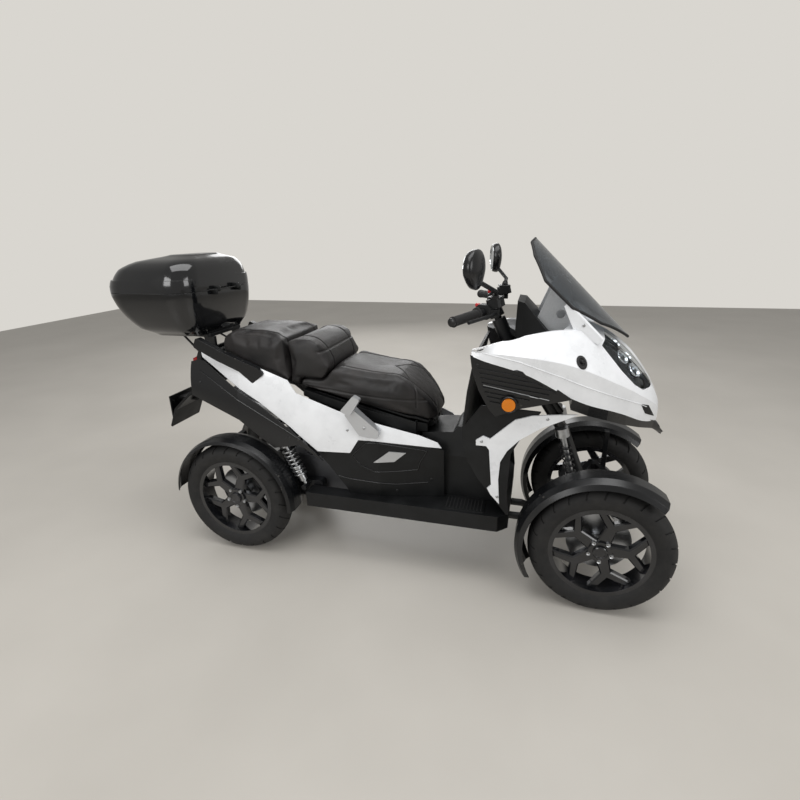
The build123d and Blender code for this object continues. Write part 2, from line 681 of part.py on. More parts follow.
def make_floorboard():
    """Footboard with its sills, foot pads and the ribs that sit on the rails."""
    w = FLOOR_HALF_WIDTH
    low = FLOOR_HEIGHT - FLOOR_DEPTH
    rim = 14
    plan = both_edges([(rx(352), w), (fx(-386), w), (fx(-346), w - 40)])
    hollow = both_edges([(rx(352) + rim, w - rim), (fx(-386) - rim, w - rim), (fx(-346) - rim, w - 40 - rim)])
    board = plan_prism(plan, low, FLOOR_HEIGHT) - plan_prism(hollow, low - 1, FLOOR_HEIGHT - FLOOR_PLATE)
    bay = ENGINE_HALF_WIDTH + SWINGARM_WIDTH + 8
    board -= block(rx(100), rx(680), -bay, bay, low - 1, FLOOR_HEIGHT + 1)
    for x in (fx(-560), fx(-400)):
        board += block(x - 10, x + 10, -RAIL_OFFSET - 50, RAIL_OFFSET + 50, ENGINE_LOW, FLOOR_HEIGHT - 6)
    pad = block(rx(968), rx(1136), 150, w - 16, FLOOR_HEIGHT - 1, FLOOR_HEIGHT + PAD_HEIGHT)
    return board + pad + mirror(pad, about=Plane.XZ)


def tunnel_solid(inset):
    """The centre tunnel's outline and taper, pulled in by an inset."""
    top = FLOOR_HEIGHT + 310 - inset
    shelf = top - 25
    back = [(x - 1 - inset, z) for x, z in SHIELD_BACK[:5]]
    side = front(back) + [(fx(SHIELD_BACK[5][0] - 1 - inset), top), (rx(1002), top), (rx(984), shelf),
                          (rx(850 - inset), shelf - 12), (rx(850 - inset), FLOOR_HEIGHT)]
    low, high = TUNNEL_HALF_WIDTH - inset, TUNNEL_TOP_HALF_WIDTH - inset
    taper = [(low, FLOOR_HEIGHT), (low - 6, shelf - 100), (high, top)]
    section = taper + [(-w, z) for w, z in reversed(taper)]
    bar = extrude(cross_plane(rx(800)) * outline_face(section), amount=fx(0) - rx(800))
    return prism(side, -low, low) & bar


def make_tunnel():
    """Hollow centre tunnel over the frame between the seat and the leg shield."""
    return tunnel_solid(0) - tunnel_solid(TUNNEL_WALL)


def seat_line(x):
    """Height of the seat pan's underside under the rider, at an X measured from the rear axle."""
    return 782 - (x - 392) * (782 - 674) / (836 - 392)


def pan_line(x):
    """Height of the seat pan's underside behind the rider, at an X measured from the rear axle."""
    return seat_line(330) + (330 - x) * 0.254


SEAT_PLAN = [
    (-84, 60), (-80, 110), (-60, 142), (0, 166), (250, 190), (450, 192), (640, 182), (790, 158), (880, 122),
    (918, 88), (924, 40),
]


def seat_plan(inset):
    """The seat's plan outline, pulled in by an inset."""
    return both_edges([(rx(x), w - inset) for x, w in SEAT_PLAN])


def make_seat_bay(flank):
    """Open storage tub under the seat, with its rim, side skirts, hinge lugs and pin."""
    rim = [(rx(x), seat_line(x) - PAN_GAP) for x in (345, 392, 836)]
    rim.append((rx(SEAT_NOSE[0] - 4), SEAT_NOSE[1] - PAN_GAP))
    tub_side = [(rx(392), ENGINE_TOP), rim[1], rim[2], (rx(836), ENGINE_TOP)]
    tub = prism(tub_side, -BAY_HALF_WIDTH, BAY_HALF_WIDTH)
    wide = SIDE_CUT_OUT
    whole = plan_prism(seat_plan(BAY_WALL), ENGINE_TOP, BOX_FLOOR)
    skirt = whole - plan_prism(seat_plan(2 * BAY_WALL), ENGINE_TOP, BOX_FLOOR)
    skirt &= prism([rim[0], rim[3], (rim[3][0], 612), (rx(700), 650), (rx(345), 760)], -wide, wide)
    ledge_low = [(x, z - BAY_WALL) for x, z in (rim[3], rim[0])]
    ledge = prism([rim[0], rim[3], *ledge_low], -wide, wide) & whole
    ledge -= block(rx(836), rx(900), -90, 90, ENGINE_TOP, BOX_FLOOR)
    inside = BAY_HALF_WIDTH - BAY_WALL
    hollow = block(rx(392 + BAY_WALL), rx(836 - BAY_WALL), -inside, inside, ENGINE_TOP + BAY_WALL, BOX_FLOOR)
    tub = tub + ledge + skirt - hollow
    x, z = rx(SEAT_HINGE[0]), SEAT_HINGE[1]
    lug = prism([(rx(836), z - 28), (rx(836), z + 26), (x, z + 12), (x + 11, z), (x, z - 12)], 62, 76)
    tub += lug + mirror(lug, about=Plane.XZ) + pin_y(x, z, -76, 76, HINGE_PIN_RADIUS)
    return largest(tub - flank - mirror(flank, about=Plane.XZ))


def make_seat_pan():
    """Seat base plate with its hinge eyes."""
    under = [(-60, pan_line(-60)), (330, seat_line(330)), (836, seat_line(836)), SEAT_NOSE]
    over = [(x, z + PAN_THICKNESS) for x, z in reversed(under)]
    pan = prism(rear(under + over), -PAN_HALF_WIDTH, PAN_HALF_WIDTH) & plan_prism(seat_plan(4), 0, BOX_FLOOR)
    x, z = rx(SEAT_HINGE[0]), SEAT_HINGE[1]
    eye = prism([
        (rx(840), seat_line(840) + 1), (rx(SEAT_NOSE[0]), SEAT_NOSE[1] + 5), (x + 9, z + 8),
        (x + 9, z - 9), (x - 9, z - 9), (x - 9, z + 4),
    ], 34, 61)
    eye -= pin_y(x, z, 20, 70, HINGE_PIN_RADIUS + RUNNING_CLEARANCE)
    return pan + eye + mirror(eye, about=Plane.XZ)


def cushion(side):
    """A seat pad cut from its side outline and the seat's plan outline."""
    widest = max(w for x, w in SEAT_PLAN)
    return prism(rear(side), -widest, widest) & plan_prism(seat_plan(0), 0, BOX_SEAM)


def make_seat_rider():
    """Rider's cushion, dipped in the middle and rounded over its nose."""
    top = PAN_THICKNESS
    return cushion([
        (330, seat_line(330) + top), (336, 834), (440, 836), (478, 888), (560, 874), (654, 861),
        (744, 854), (790, 846), (835, 812), (885, 750), (922, 700), (918, 668),
        (SEAT_NOSE[0], SEAT_NOSE[1] + top), (836, seat_line(836) + top),
    ])


def make_seat_passenger():
    """Raised rear cushion."""
    top = PAN_THICKNESS
    return cushion([
        (-60, pan_line(-60) + top), (-72, 960), (-50, 1000), (-10, 1020), (146, 1024), (270, 1010),
        (284, pan_line(284) + top),
    ])


def make_seat_backrest():
    """Bolster between the two cushions."""
    top = PAN_THICKNESS
    return cushion([(286, pan_line(286) + top), (286, 1006), (390, 1010), (430, 990), (478, 888), (440, 836),
                    (336, 834), (330, seat_line(330) + top)])


# Side panels

GRAB_OUTLINE = [
    (-150, 962), (-130, 1004), (-6, 944), (160, 880), (186, 858), (126, 812), (67, 862), (-40, 906),
]
FLANK = [
    (-170, [(150, 960), (172, 900), (178, 830)]),
    (60, [(196, 940), (226, 840), (236, 700)]),
    (330, [(204, 870), (240, 720), (250, 520)]),
    (640, [(198, 760), (234, 640), (240, 500)]),
    (960, [(150, 640), (176, 590), (182, 500)]),
]
FLANK_STATIONS = [(rx(x), curve) for x, curve in FLANK]
GUARD_STATIONS = [
    (rx(-215), [(172, 910), (206, 820), (214, 720)]),
    (rx(60), [(228, 850), (258, 720), (262, 590)]),
    (rx(460), [(244, 640), (262, 560), (256, 440)]),
]
LOWER_STATIONS = [
    (rx(350), [(250, FLOOR_HEIGHT + 245), (240, FLOOR_HEIGHT + 110), (228, FLOOR_HEIGHT)]),
    (rx(690), [(236, FLOOR_HEIGHT + 275), (226, FLOOR_HEIGHT + 120), (214, FLOOR_HEIGHT)]),
    (rx(960), [(178, FLOOR_HEIGHT + 245), (164, FLOOR_HEIGHT + 110), (154, FLOOR_HEIGHT)]),
]


def make_flank():
    """Left white side panel under the seat, with its fixing bosses."""
    outline = prism(rear([
        (-165, 940), (-120, 950), (61, 912), (290, 834), (331, 782), (516, 717), (688, 669), (860, 622),
        (932, 594), (950, 572), (886, 577), (650, 600), (607, 600), (568, 538), (420, 532), (299, 635),
        (158, 733), (-87, 872), (-150, 905),
    ]), SIDE_CUT_IN, SIDE_CUT_OUT)
    grab = prism(rear(GRAB_OUTLINE), SIDE_CUT_IN, SIDE_CUT_OUT, radius=10)
    panel = (skin(FLANK_STATIONS, WALL) & outline) - grab
    body = solid_inside(FLANK_STATIONS)
    for x, z, y in [(480, 640, BAY_HALF_WIDTH), (740, 620, BAY_HALF_WIDTH), (20, 848, SUBFRAME_OUT)]:
        panel += pin_y(rx(x), z, y, SIDE_CUT_OUT, 10) & body
    return panel


def make_rear_guard(flank):
    """Left black guard that sweeps from the tail under the white panel."""
    outline = prism(rear([
        (-205, 885), (-150, 900), (-87, 866), (158, 727), (299, 629), (420, 526), (450, 496), (343, 560),
        (217, 532), (159, 576), (60, 652), (-137, 714), (-203, 735),
    ]), SIDE_CUT_IN, SIDE_CUT_OUT)
    panel = (skin(GUARD_STATIONS, WALL) & outline) - flank
    boss = pin_y(rx(-140), SUBFRAME_TOP - 45, SUBFRAME_OUT, SIDE_CUT_OUT, 10) & solid_inside(GUARD_STATIONS)
    return panel + (boss - flank)


def make_lower_panel(flank):
    """Left black panel between the white flank and the footboard, with its slanted rear edge."""
    low = FLOOR_HEIGHT
    outline = prism(rear([
        (414, 532), (568, 540), (607, 602), (886, 578), (958, 560), (958, low), (548, low), (538, low + 24),
        (474, 452),
    ]), SIDE_CUT_IN, SIDE_CUT_OUT)
    return largest((skin(LOWER_STATIONS, WALL) & outline) - flank)


def make_trim_plate():
    """Left bare silver plate on the lower panel."""
    raised = skin([(x, [(w + 5, z) for w, z in curve]) for x, curve in LOWER_STATIONS], 5)
    return raised & prism(rear([(668, 500), (736, 554), (805, 548), (756, 506)]), SIDE_CUT_IN, SIDE_CUT_OUT)


def make_peg(flank):
    """Left passenger footrest, folded up against the panel, with its bracket."""
    pad = prism(rear([(545, 734), (605, 803), (634, 788), (587, 716)]), 246, 272, radius=7)
    bracket = rear([(556, 712), (590, 742), (704, 650), (694, 618), (617, 624)])
    plate = prism(bracket, SIDE_CUT_IN, 252, radius=6)
    return pad + (plate - solid_inside(FLANK_STATIONS) - flank)


# Tail and top box


def make_grab_handle():
    """Left black grab rail along the top of the tail."""
    return prism(rear(GRAB_OUTLINE), 196, 226, radius=10)


def make_tail_panel():
    """Black tail closing panel between the guards."""
    top = SUBFRAME_TOP
    return prism(rear([(-175, top), (-188, top), (-200, 900), (-214, TAIL_LOW), (-175, TAIL_LOW)]), -150, 150)


def make_tail_lamp(tail_panel):
    """Left red lamp on the tail panel."""
    return prism(rear([(-200, 900), (-222, 890), (-230, 810), (-209, 810)]), 40, 150) - tail_panel


def make_mudguard():
    """Rear mudguard blade with its plate holder."""
    low = TAIL_LOW
    blade = prism(rear([
        (-176, low), (-214, low), (-330, low - 62), (-420, low - 142), (-462, low - 237), (-455, low - 242),
        (-410, low - 148), (-322, low - 72), (-212, low - 14), (-176, low - 10),
    ]), -105, 105)
    edge = PLATE_HOLE_SPACING / 2 + 24
    top = PLATE_HOLE_HEIGHT + 28
    holder = block(rx(-452), rx(-446), -edge, edge, PLATE_HOLE_HEIGHT - 100, top)
    holder += block(rx(-450), rx(-330), -40, 40, top - 28, top - 16)
    for y in (-PLATE_HOLE_SPACING / 2, PLATE_HOLE_SPACING / 2):
        holder -= rod((rx(-460), y, PLATE_HOLE_HEIGHT), (rx(-440), y, PLATE_HOLE_HEIGHT), PLATE_HOLE_RADIUS)
    return blade + holder


def make_rack(tail_panel):
    """Luggage rack: plate under the top box, its arms and two thin struts from the tail."""
    low = BOX_FLOOR - RACK_DEPTH
    plate = plan_prism(both_edges([(rx(-420), 90), (rx(-130), 130)]), low, BOX_FLOOR, radius=20)
    arm = prism(rear([(-160, SUBFRAME_TOP), (-120, SUBFRAME_TOP), (-120, low), (-175, low)]),
                SUBFRAME_IN, SUBFRAME_OUT)
    strut = rod((rx(-300), 96, low + 1), (rx(-190), 130, SUBFRAME_TOP - 13), 5) - tail_panel
    left = arm + strut
    return plate + left + mirror(left, about=Plane.XZ)


BOX_BASE_STEPS = [
    # in from the rear, in from the front, in from each side, share of the height, corner radius
    (150, 30, 87, 0.0, 70),
    (90, 15, 40, 0.18, 90),
    (40, 6, 14, 0.49, 100),
    (8, 0, 2, 0.82, 105),
    (0, 0, 0, 1.0, 105),
]
BOX_LID_STEPS = [
    (0, 0, 0, 0.0, 105),
    (6, 0, 2, 0.27, 105),
    (42, 8, 22, 0.63, 95),
    (116, 26, 58, 0.84, 80),
    (246, 70, 142, 1.0, 50),
]


def box_section(step, low, height, inset, lift=0):
    """Plan section of the top box at one height, its corners in two chamfers."""
    in_rear, in_front, in_side, share, corner = step
    rear_x, front_x = rx(BOX_REAR + in_rear + inset), rx(BOX_FRONT - in_front - inset)
    side = BOX_HALF_WIDTH - in_side - inset
    r = corner - inset
    near = r * (1 - math.sqrt(0.5))
    left = [(rear_x, side - r), (rear_x + near, side - near), (rear_x + r, side),
            (front_x - r, side), (front_x - near, side - near), (front_x, side - r)]
    return Plane.XY.offset(low + share * height + lift) * outline_face(both_edges(left))


def box_shell(steps, low, height, floor_lift, mouth_lift, floor_first):
    """A hollow half of the top box, closed by its floor or top and open at the seam."""
    outer = loft([box_section(step, low, height, 0) for step in steps], ruled=True)
    lifts = [0] * len(steps)
    lifts[0 if floor_first else -1] = floor_lift
    lifts[-1 if floor_first else 0] = mouth_lift
    sections = [box_section(step, low, height, BOX_WALL, lift) for step, lift in zip(steps, lifts)]
    inner = loft(sections, ruled=True)
    return outer - inner, inner


def make_box_base():
    """Top box tub with its floor, hinge lugs and pin."""
    height = BOX_BASE_HEIGHT - LID_GAP / 2
    base, inner = box_shell(BOX_BASE_STEPS, BOX_FLOOR, height, BOX_WALL, 1, True)
    x, z = rx(LID_HINGE[0]), LID_HINGE[1]
    back = x - LID_HINGE_OUT - BOX_WALL + 1
    lug = prism([(back, z - 22), (back, z + 2), (x - 2, z + 9), (x + 9, z), (x, z - 9)], 82, 96) - inner
    return base + lug + mirror(lug, about=Plane.XZ) + pin_y(x, z, -96, 96, HINGE_PIN_RADIUS)


def make_box_lid():
    """Top box lid with its hinge eyes."""
    low = BOX_SEAM + LID_GAP / 2
    lid, inner = box_shell(BOX_LID_STEPS, low, BOX_LID_HEIGHT - LID_GAP / 2, -BOX_WALL, -1, False)
    x, z = rx(LID_HINGE[0]), LID_HINGE[1]
    back = x - LID_HINGE_OUT - BOX_WALL + 1
    eye = prism([(back, z + 26), (back, z + 7), (x - 8, z + 2), (x + 8, z + 2), (x + 6, z + 12)], 60, 81)
    eye = eye + pin_y(x, z, 60, 81, 9) - inner
    eye -= pin_y(x, z, 50, 90, HINGE_PIN_RADIUS + RUNNING_CLEARANCE)
    return lid + eye + mirror(eye, about=Plane.XZ)


# Assembly

fairing, lenses = make_front_shells()
front_shell = fairing + lenses
flank = make_flank()
frame = make_frame()
lower_arm = make_arm(LOWER_ARM_HEIGHT)
swingarm = make_swingarm()
handlebar = make_handlebar()
controls = make_controls(handlebar)
dashboard = make_dashboard()
grille = make_side_grille(front_shell)
tail_panel = make_tail_panel()
wheel_parts = {"rim": make_rim(), "tyre": make_tyre(), "disc": make_disc()}
pieces = {
    "frame": frame,
    "engine": make_engine(),
    "floorboard": make_floorboard(),
    "centre_tunnel": make_tunnel(),
    "leg_shield": make_leg_shield(),
    "leg_trims": both_sides(make_leg_trim()),
    "front_fairing": fairing,
    "headlight_lenses": lenses,
    "screen_pillars": both_sides(make_pillar(front_shell)),
    "side_grilles": both_sides(grille),
    "belly_pan": make_belly_pan(front_shell),
    "windscreen": make_windscreen(),
    "screen_bracket": both_sides(make_screen_bracket(front_shell, dashboard)),
    "dashboard": dashboard,
    "front_indicators": both_sides(make_indicator(grille)),
    "front_arms": Compound(children=[
        *both_sides(make_arm(UPPER_ARM_HEIGHT)).solids(), *both_sides(lower_arm).solids()]),
    "front_struts": both_sides(make_strut(lower_arm, frame)),
    "flanks": both_sides(flank),
    "grab_handles": both_sides(make_grab_handle()),
    "rear_guards": both_sides(make_rear_guard(flank)),
    "lower_panels": both_sides(make_lower_panel(flank)),
    "trim_plates": both_sides(make_trim_plate()),
    "foot_pegs": both_sides(make_peg(flank)),
    "tail_panel": tail_panel,
    "tail_lamps": both_sides(make_tail_lamp(tail_panel)),
    "rear_mudguard": make_mudguard(),
    "rack": make_rack(tail_panel),
    "box_base": make_box_base(),
    "box_lid": make_box_lid(),
    "seat_bay": make_seat_bay(flank),
    "seat_pan": make_seat_pan(),
    "seat_rider": make_seat_rider(),
    "seat_rear": Compound(children=[*make_seat_passenger().solids(), *make_seat_backrest().solids()]),
    "swingarms": both_sides(swingarm),
    "rear_shocks": both_sides(make_rear_shock(swingarm)),
    "rear_fenders": both_sides(make_rear_fender()),
    "exhaust": make_exhaust(),
    "handlebar": handlebar,
    "grips": both_sides(make_grip()),
    "controls": both_sides(controls),
    "mirrors": both_sides(make_mirror(controls)),
}
for side, flip in (("left", False), ("right", True)):
    local = {"knuckle": make_knuckle(), "front_fender": make_front_fender()}
    for end, x, track in (("front", fx(0), FRONT_TRACK), ("rear", rx(0), REAR_TRACK)):
        for name, shape in wheel_parts.items():
            local[f"{name}_{end}"] = Pos(x, track / 2, TYRE_RADIUS) * shape
    for name, shape in local.items():
        pieces[f"{name}_{side}"] = mirror(shape, about=Plane.XZ) if flip else shape

os.makedirs("parts", exist_ok=True)
for name, shape in pieces.items():
    placed = Pos(CENTRE_SHIFT, 0, 0) * shape
    export_step(placed, f"parts/{name}.step")
    box = placed.bounding_box()
    print(f"{name}: {len(placed.solids())} solids, X {box.min.X:.0f} to {box.max.X:.0f}, "
          f"Y {box.min.Y:.0f} to {box.max.Y:.0f}, Z {box.min.Z:.0f} to {box.max.Z:.0f}")
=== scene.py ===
# %% [markdown]
# # A tilting four-wheeled scooter
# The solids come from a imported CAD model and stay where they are. This lesson dresses them: it gives each
# surface the finish of its real material and adds the pieces that are too small or too soft for the solids,
# such as tread, stitching, switches and lamp insides. Everything is in metres, X forward, Y left, Z up.

# %% load the solids
import json
import math

import bmesh
import bpy
from mathutils import Matrix, Vector
from mathutils.bvhtree import BVHTree

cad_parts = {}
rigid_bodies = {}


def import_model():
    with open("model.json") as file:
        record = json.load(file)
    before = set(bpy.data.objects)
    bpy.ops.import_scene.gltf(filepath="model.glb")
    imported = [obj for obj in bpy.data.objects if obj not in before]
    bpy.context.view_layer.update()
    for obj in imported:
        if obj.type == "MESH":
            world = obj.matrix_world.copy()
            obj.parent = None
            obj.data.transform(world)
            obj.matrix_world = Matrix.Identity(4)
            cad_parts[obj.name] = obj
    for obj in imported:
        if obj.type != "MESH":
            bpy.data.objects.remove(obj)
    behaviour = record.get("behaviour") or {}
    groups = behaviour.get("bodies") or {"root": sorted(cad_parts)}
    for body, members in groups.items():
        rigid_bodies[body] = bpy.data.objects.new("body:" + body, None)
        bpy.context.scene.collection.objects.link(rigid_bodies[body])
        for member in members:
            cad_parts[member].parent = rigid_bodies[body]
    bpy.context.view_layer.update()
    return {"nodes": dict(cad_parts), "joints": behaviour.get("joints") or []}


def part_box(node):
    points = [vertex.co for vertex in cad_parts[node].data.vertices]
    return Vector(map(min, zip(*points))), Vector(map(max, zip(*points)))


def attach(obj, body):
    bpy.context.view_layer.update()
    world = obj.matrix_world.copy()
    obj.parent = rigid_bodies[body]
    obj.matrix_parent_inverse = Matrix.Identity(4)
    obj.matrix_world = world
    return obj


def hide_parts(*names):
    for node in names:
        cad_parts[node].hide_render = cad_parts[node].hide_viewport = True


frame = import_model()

# %% [markdown]
# ## Colours and nodes
# Colours are written as the sRGB hex values that a paint chart gives. Blender's shaders work in linear
# light, so one function converts them. A second function adds a shader node with its settings and links,
# because every finish below is a short chain of such nodes: a noise or a cell pattern that moves the
# shader's colour, its gloss or its height.

# %% helpers for finishes
EDGE_RADIUS = 0.0016    # moulded and painted edges are never quite sharp


def colour(code):
    """Linear RGBA of an sRGB hex code."""
    parts = [int(code[i:i + 2], 16) / 255 for i in (1, 3, 5)]
    return tuple(p / 12.92 if p <= 0.04045 else ((p + 0.055) / 1.055) ** 2.4 for p in parts) + (1.0,)


def add(tree, kind, inputs=None, into=None, stops=(), **settings):
    """A new shader node: its settings, its inputs set or linked, a ramp's stops, its first output linked."""
    node = tree.nodes.new("ShaderNode" + kind)
    for name, value in settings.items():
        setattr(node, name, value)
    for name, value in (inputs or {}).items():
        if isinstance(value, bpy.types.NodeSocket):
            tree.links.new(value, node.inputs[name])
        else:
            node.inputs[name].default_value = value
    for i, (at, code) in enumerate(stops):
        node.color_ramp.elements[i].position, node.color_ramp.elements[i].color = at, colour(code)
    if into is not None:
        tree.links.new(node.outputs[0], into)
    return node


def per_mm(size):
    """Texture scale that repeats about every size millimetres on Object coordinates in metres."""
    return 1000.0 / size


def start_finish(name, base, rough, metal=0.0, more=None):
    """A material with its shader set, its node tree, the shader's inputs and the Object coordinates."""
    mat = bpy.data.materials.new(name)
    mat.use_nodes = True
    tree = mat.node_tree
    shader = tree.nodes["Principled BSDF"]
    inputs = {"Base Color": colour(base), "Roughness": rough, "Metallic": metal, **(more or {})}
    for key, value in inputs.items():
        shader.inputs[key].default_value = value
    return mat, tree, shader.inputs, add(tree, "TexCoord").outputs["Object"]


print("helpers ready")

# %% [markdown]
# ## Painted and moulded plastics
# The white panels are moulded ABS, painted and lacquered: a smooth face with a clear coat, a faint ripple
# in the gloss and a little grey haze where hands and shoes pass. The black panels are polypropylene
# straight from a grained mould, so they are dull and finely pebbled. The top box is black ABS with a
# polished face.

# %% white lacquered ABS
white_abs, tree, face, place = start_finish("white_lacquered_abs", "#E9EBEE", 0.32,
                                            more={"Coat Weight": 0.6, "Coat Roughness": 0.06})
# A 90 mm cloud of haze moves the gloss and greys the white; a 6 mm ripple is the sprayed lacquer's skin.
haze = add(tree, "TexNoise", {"Vector": place, "Scale": per_mm(90), "Detail": 4.0, "Roughness": 0.6})
add(tree, "MapRange", {"Value": haze.outputs["Fac"], "From Min": 0.35, "From Max": 0.75, "To Min": 0.26,
                       "To Max": 0.42}, into=face["Roughness"])
add(tree, "ValToRGB", {"Fac": haze.outputs["Fac"]}, into=face["Base Color"],
    stops=((0.25, "#DFE1E4"), (0.6, "#ECEEF1")))
lacquer_skin = add(tree, "TexNoise", {"Vector": place, "Scale": per_mm(6), "Detail": 1.0})

# %% black grained polypropylene
black_pp, tree, face, place = start_finish("black_grained_polypropylene", "#1B1C1E", 0.5,
                                           more={"Specular IOR Level": 0.3})
# Mould grain is about 1 mm; it is drawn at 2.2 mm so that it still shows at this distance.
mould_grain = add(tree, "TexVoronoi", {"Vector": place, "Scale": per_mm(2.2)})
dust = add(tree, "TexNoise", {"Vector": place, "Scale": per_mm(120), "Detail": 6.0, "Roughness": 0.65})
add(tree, "ValToRGB", {"Fac": dust.outputs["Fac"]}, into=face["Base Color"],
    stops=((0.42, "#0F1011"), (0.72, "#1B1C1D")))
add(tree, "MapRange", {"Value": dust.outputs["Fac"], "From Min": 0.35, "From Max": 0.7, "To Min": 0.4,
                       "To Max": 0.58}, into=face["Roughness"])

# %% black satin panels
# The rear guards, the ribbed panels and the mudguards are smoother than the footwell, with dried splashes.
black_satin, tree, face, place = start_finish("black_satin_abs", "#191A1C", 0.3)
spots = add(tree, "TexVoronoi", {"Vector": place, "Scale": per_mm(34)})
drops = add(tree, "MapRange", {"Value": spots.outputs["Distance"], "From Min": 0.1, "From Max": 0.16,
                               "To Min": 1.0, "To Max": 0.0})
patch = add(tree, "TexNoise", {"Vector": place, "Scale": per_mm(210), "Detail": 3.0})
where = add(tree, "MapRange", {"Value": patch.outputs["Fac"], "From Min": 0.52, "From Max": 0.62})
splash = add(tree, "Math", {0: drops.outputs["Result"], 1: where.outputs["Result"]}, operation="MULTIPLY")
dirt = add(tree, "MapRange", {"Value": splash.outputs["Value"], "To Min": 0.0, "To Max": 0.5})
mixed = add(tree, "Mix", {"Factor": dirt.outputs["Result"], 6: colour("#0F1012"), 7: colour("#4A4741")},
            data_type="RGBA")
tree.links.new(mixed.outputs[2], face["Base Color"])
add(tree, "MapRange", {"Value": splash.outputs["Value"], "To Min": 0.27, "To Max": 0.7},
    into=face["Roughness"])
satin_grain = add(tree, "TexNoise", {"Vector": place, "Scale": per_mm(3), "Detail": 2.0})

# %% polished ABS of the top box, grey polyamide of the screen carrier
black_gloss, tree, face, place = start_finish("black_polished_abs", "#0E0F11", 0.12,
                                              more={"Coat Weight": 0.5, "Coat Roughness": 0.04})
# Smears from wiping, and the slow wave of a large moulding.
smear = add(tree, "TexNoise", {"Vector": place, "Scale": per_mm(70), "Detail": 5.0, "Roughness": 0.7})
add(tree, "MapRange", {"Value": smear.outputs["Fac"], "From Min": 0.4, "From Max": 0.75, "To Min": 0.08,
                       "To Max": 0.24}, into=face["Roughness"])
box_wave = add(tree, "TexNoise", {"Vector": place, "Scale": per_mm(45), "Detail": 1.0})

pale_nylon, tree, face, place = start_finish("pale_grey_polyamide", "#B4B6B8", 0.42)
nylon_fleck = add(tree, "TexNoise", {"Vector": place, "Scale": per_mm(4), "Detail": 3.0})
add(tree, "ValToRGB", {"Fac": nylon_fleck.outputs["Fac"]}, into=face["Base Color"],
    stops=((0.0, "#A6A8AA"), (1.0, "#C2C4C6")))
print("plastics:", white_abs.name, black_pp.name, black_satin.name, black_gloss.name, pale_nylon.name)

# %% [markdown]
# ## Clear plastics
# The screen is smoked polycarbonate, the lamp covers clear or coloured acrylic. Transmission lets light
# through the solid, and its tint is the shader's own colour. The walls are thin, so the roughness stays
# near zero.

# %% smoked, clear, amber and red plastics
smoked_pc, tree, face, place = start_finish("smoked_polycarbonate", "#6E747A", 0.04,
                                            more={"Transmission Weight": 0.86, "IOR": 1.58})
veil = add(tree, "TexNoise", {"Vector": place, "Scale": per_mm(160), "Detail": 6.0, "Roughness": 0.7})
add(tree, "MapRange", {"Value": veil.outputs["Fac"], "From Min": 0.4, "From Max": 0.8, "To Min": 0.03,
                       "To Max": 0.16}, into=face["Roughness"])     # a wiped veil of dust

clear_pc, tree, face, place = start_finish("clear_polycarbonate", "#EEF2F5", 0.02,
                                           more={"Transmission Weight": 1.0, "IOR": 1.1})
cover_wave = add(tree, "TexNoise", {"Vector": place, "Scale": per_mm(40), "Detail": 2.0})

# Level prisms inside the coloured lamps, about one every 4 or 5 mm.
amber_pmma, tree, face, place = start_finish("amber_acrylic", "#F08A12", 0.12,
                                             more={"Transmission Weight": 0.25})
amber_prisms = add(tree, "TexWave", {"Vector": place, "Scale": per_mm(4) / math.pi}, bands_direction="Z")

red_pmma, tree, face, place = start_finish("red_acrylic", "#A50F12", 0.1, more={"Transmission Weight": 0.2})
red_prisms = add(tree, "TexWave", {"Vector": place, "Scale": per_mm(5) / math.pi}, bands_direction="Z")
print("clear plastics:", smoked_pc.name, clear_pc.name, amber_pmma.name, red_pmma.name)

# %% [markdown]
# ## Metals
# The wheels are cast alloy under a hard black enamel. Discs are ground stainless steel. The frame is steel
# tube under satin black powder coat. The dampers and their springs are zinc plated.

# %% enamel, powder coat and cast alloy
wheel_enamel, tree, face, place = start_finish("black_wheel_enamel", "#121316", 0.2,
                                               more={"Coat Weight": 0.5, "Coat Roughness": 0.08})
enamel_skin = add(tree, "TexNoise", {"Vector": place, "Scale": per_mm(5), "Detail": 2.0})
brake_dust = add(tree, "TexNoise", {"Vector": place, "Scale": per_mm(55), "Detail": 5.0})
add(tree, "ValToRGB", {"Fac": brake_dust.outputs["Fac"]}, into=face["Base Color"],
    stops=((0.45, "#101114"), (0.75, "#232327")))

powder_coat, tree, face, place = start_finish("black_powder_coat", "#0F1012", 0.38)
coat_skin = add(tree, "TexNoise", {"Vector": place, "Scale": per_mm(2.5), "Detail": 3.0})

cast_alloy, tree, face, place = start_finish("cast_aluminium", "#57585B", 0.5, metal=1.0)
sand_skin = add(tree, "TexNoise", {"Vector": place, "Scale": per_mm(3), "Detail": 4.0})

# %% steel, silver lacquer, zinc and plating
disc_steel, tree, face, place = start_finish("ground_stainless_steel", "#A9ABAE", 0.3, metal=1.0)
grinding = add(tree, "TexNoise", {"Vector": place, "Scale": per_mm(3), "Detail": 3.0})
add(tree, "MapRange", {"Value": grinding.outputs["Fac"], "To Min": 0.2, "To Max": 0.45},
    into=face["Roughness"])

silver_paint, tree, face, place = start_finish("silver_lacquered_alloy", "#C6C8CB", 0.35, metal=0.75)
flakes = add(tree, "TexNoise", {"Vector": place, "Scale": per_mm(1.5), "Detail": 2.0})
add(tree, "MapRange", {"Value": flakes.outputs["Fac"], "To Min": 0.28, "To Max": 0.46},
    into=face["Roughness"])

zinc, tree, face, place = start_finish("zinc_plated_steel", "#B9BBBD", 0.34, metal=1.0)
spangle = add(tree, "TexNoise", {"Vector": place, "Scale": per_mm(14), "Detail": 4.0})
add(tree, "ValToRGB", {"Fac": spangle.outputs["Fac"]}, into=face["Base Color"],
    stops=((0.0, "#9A9B9C"), (1.0, "#C9CBCD")))

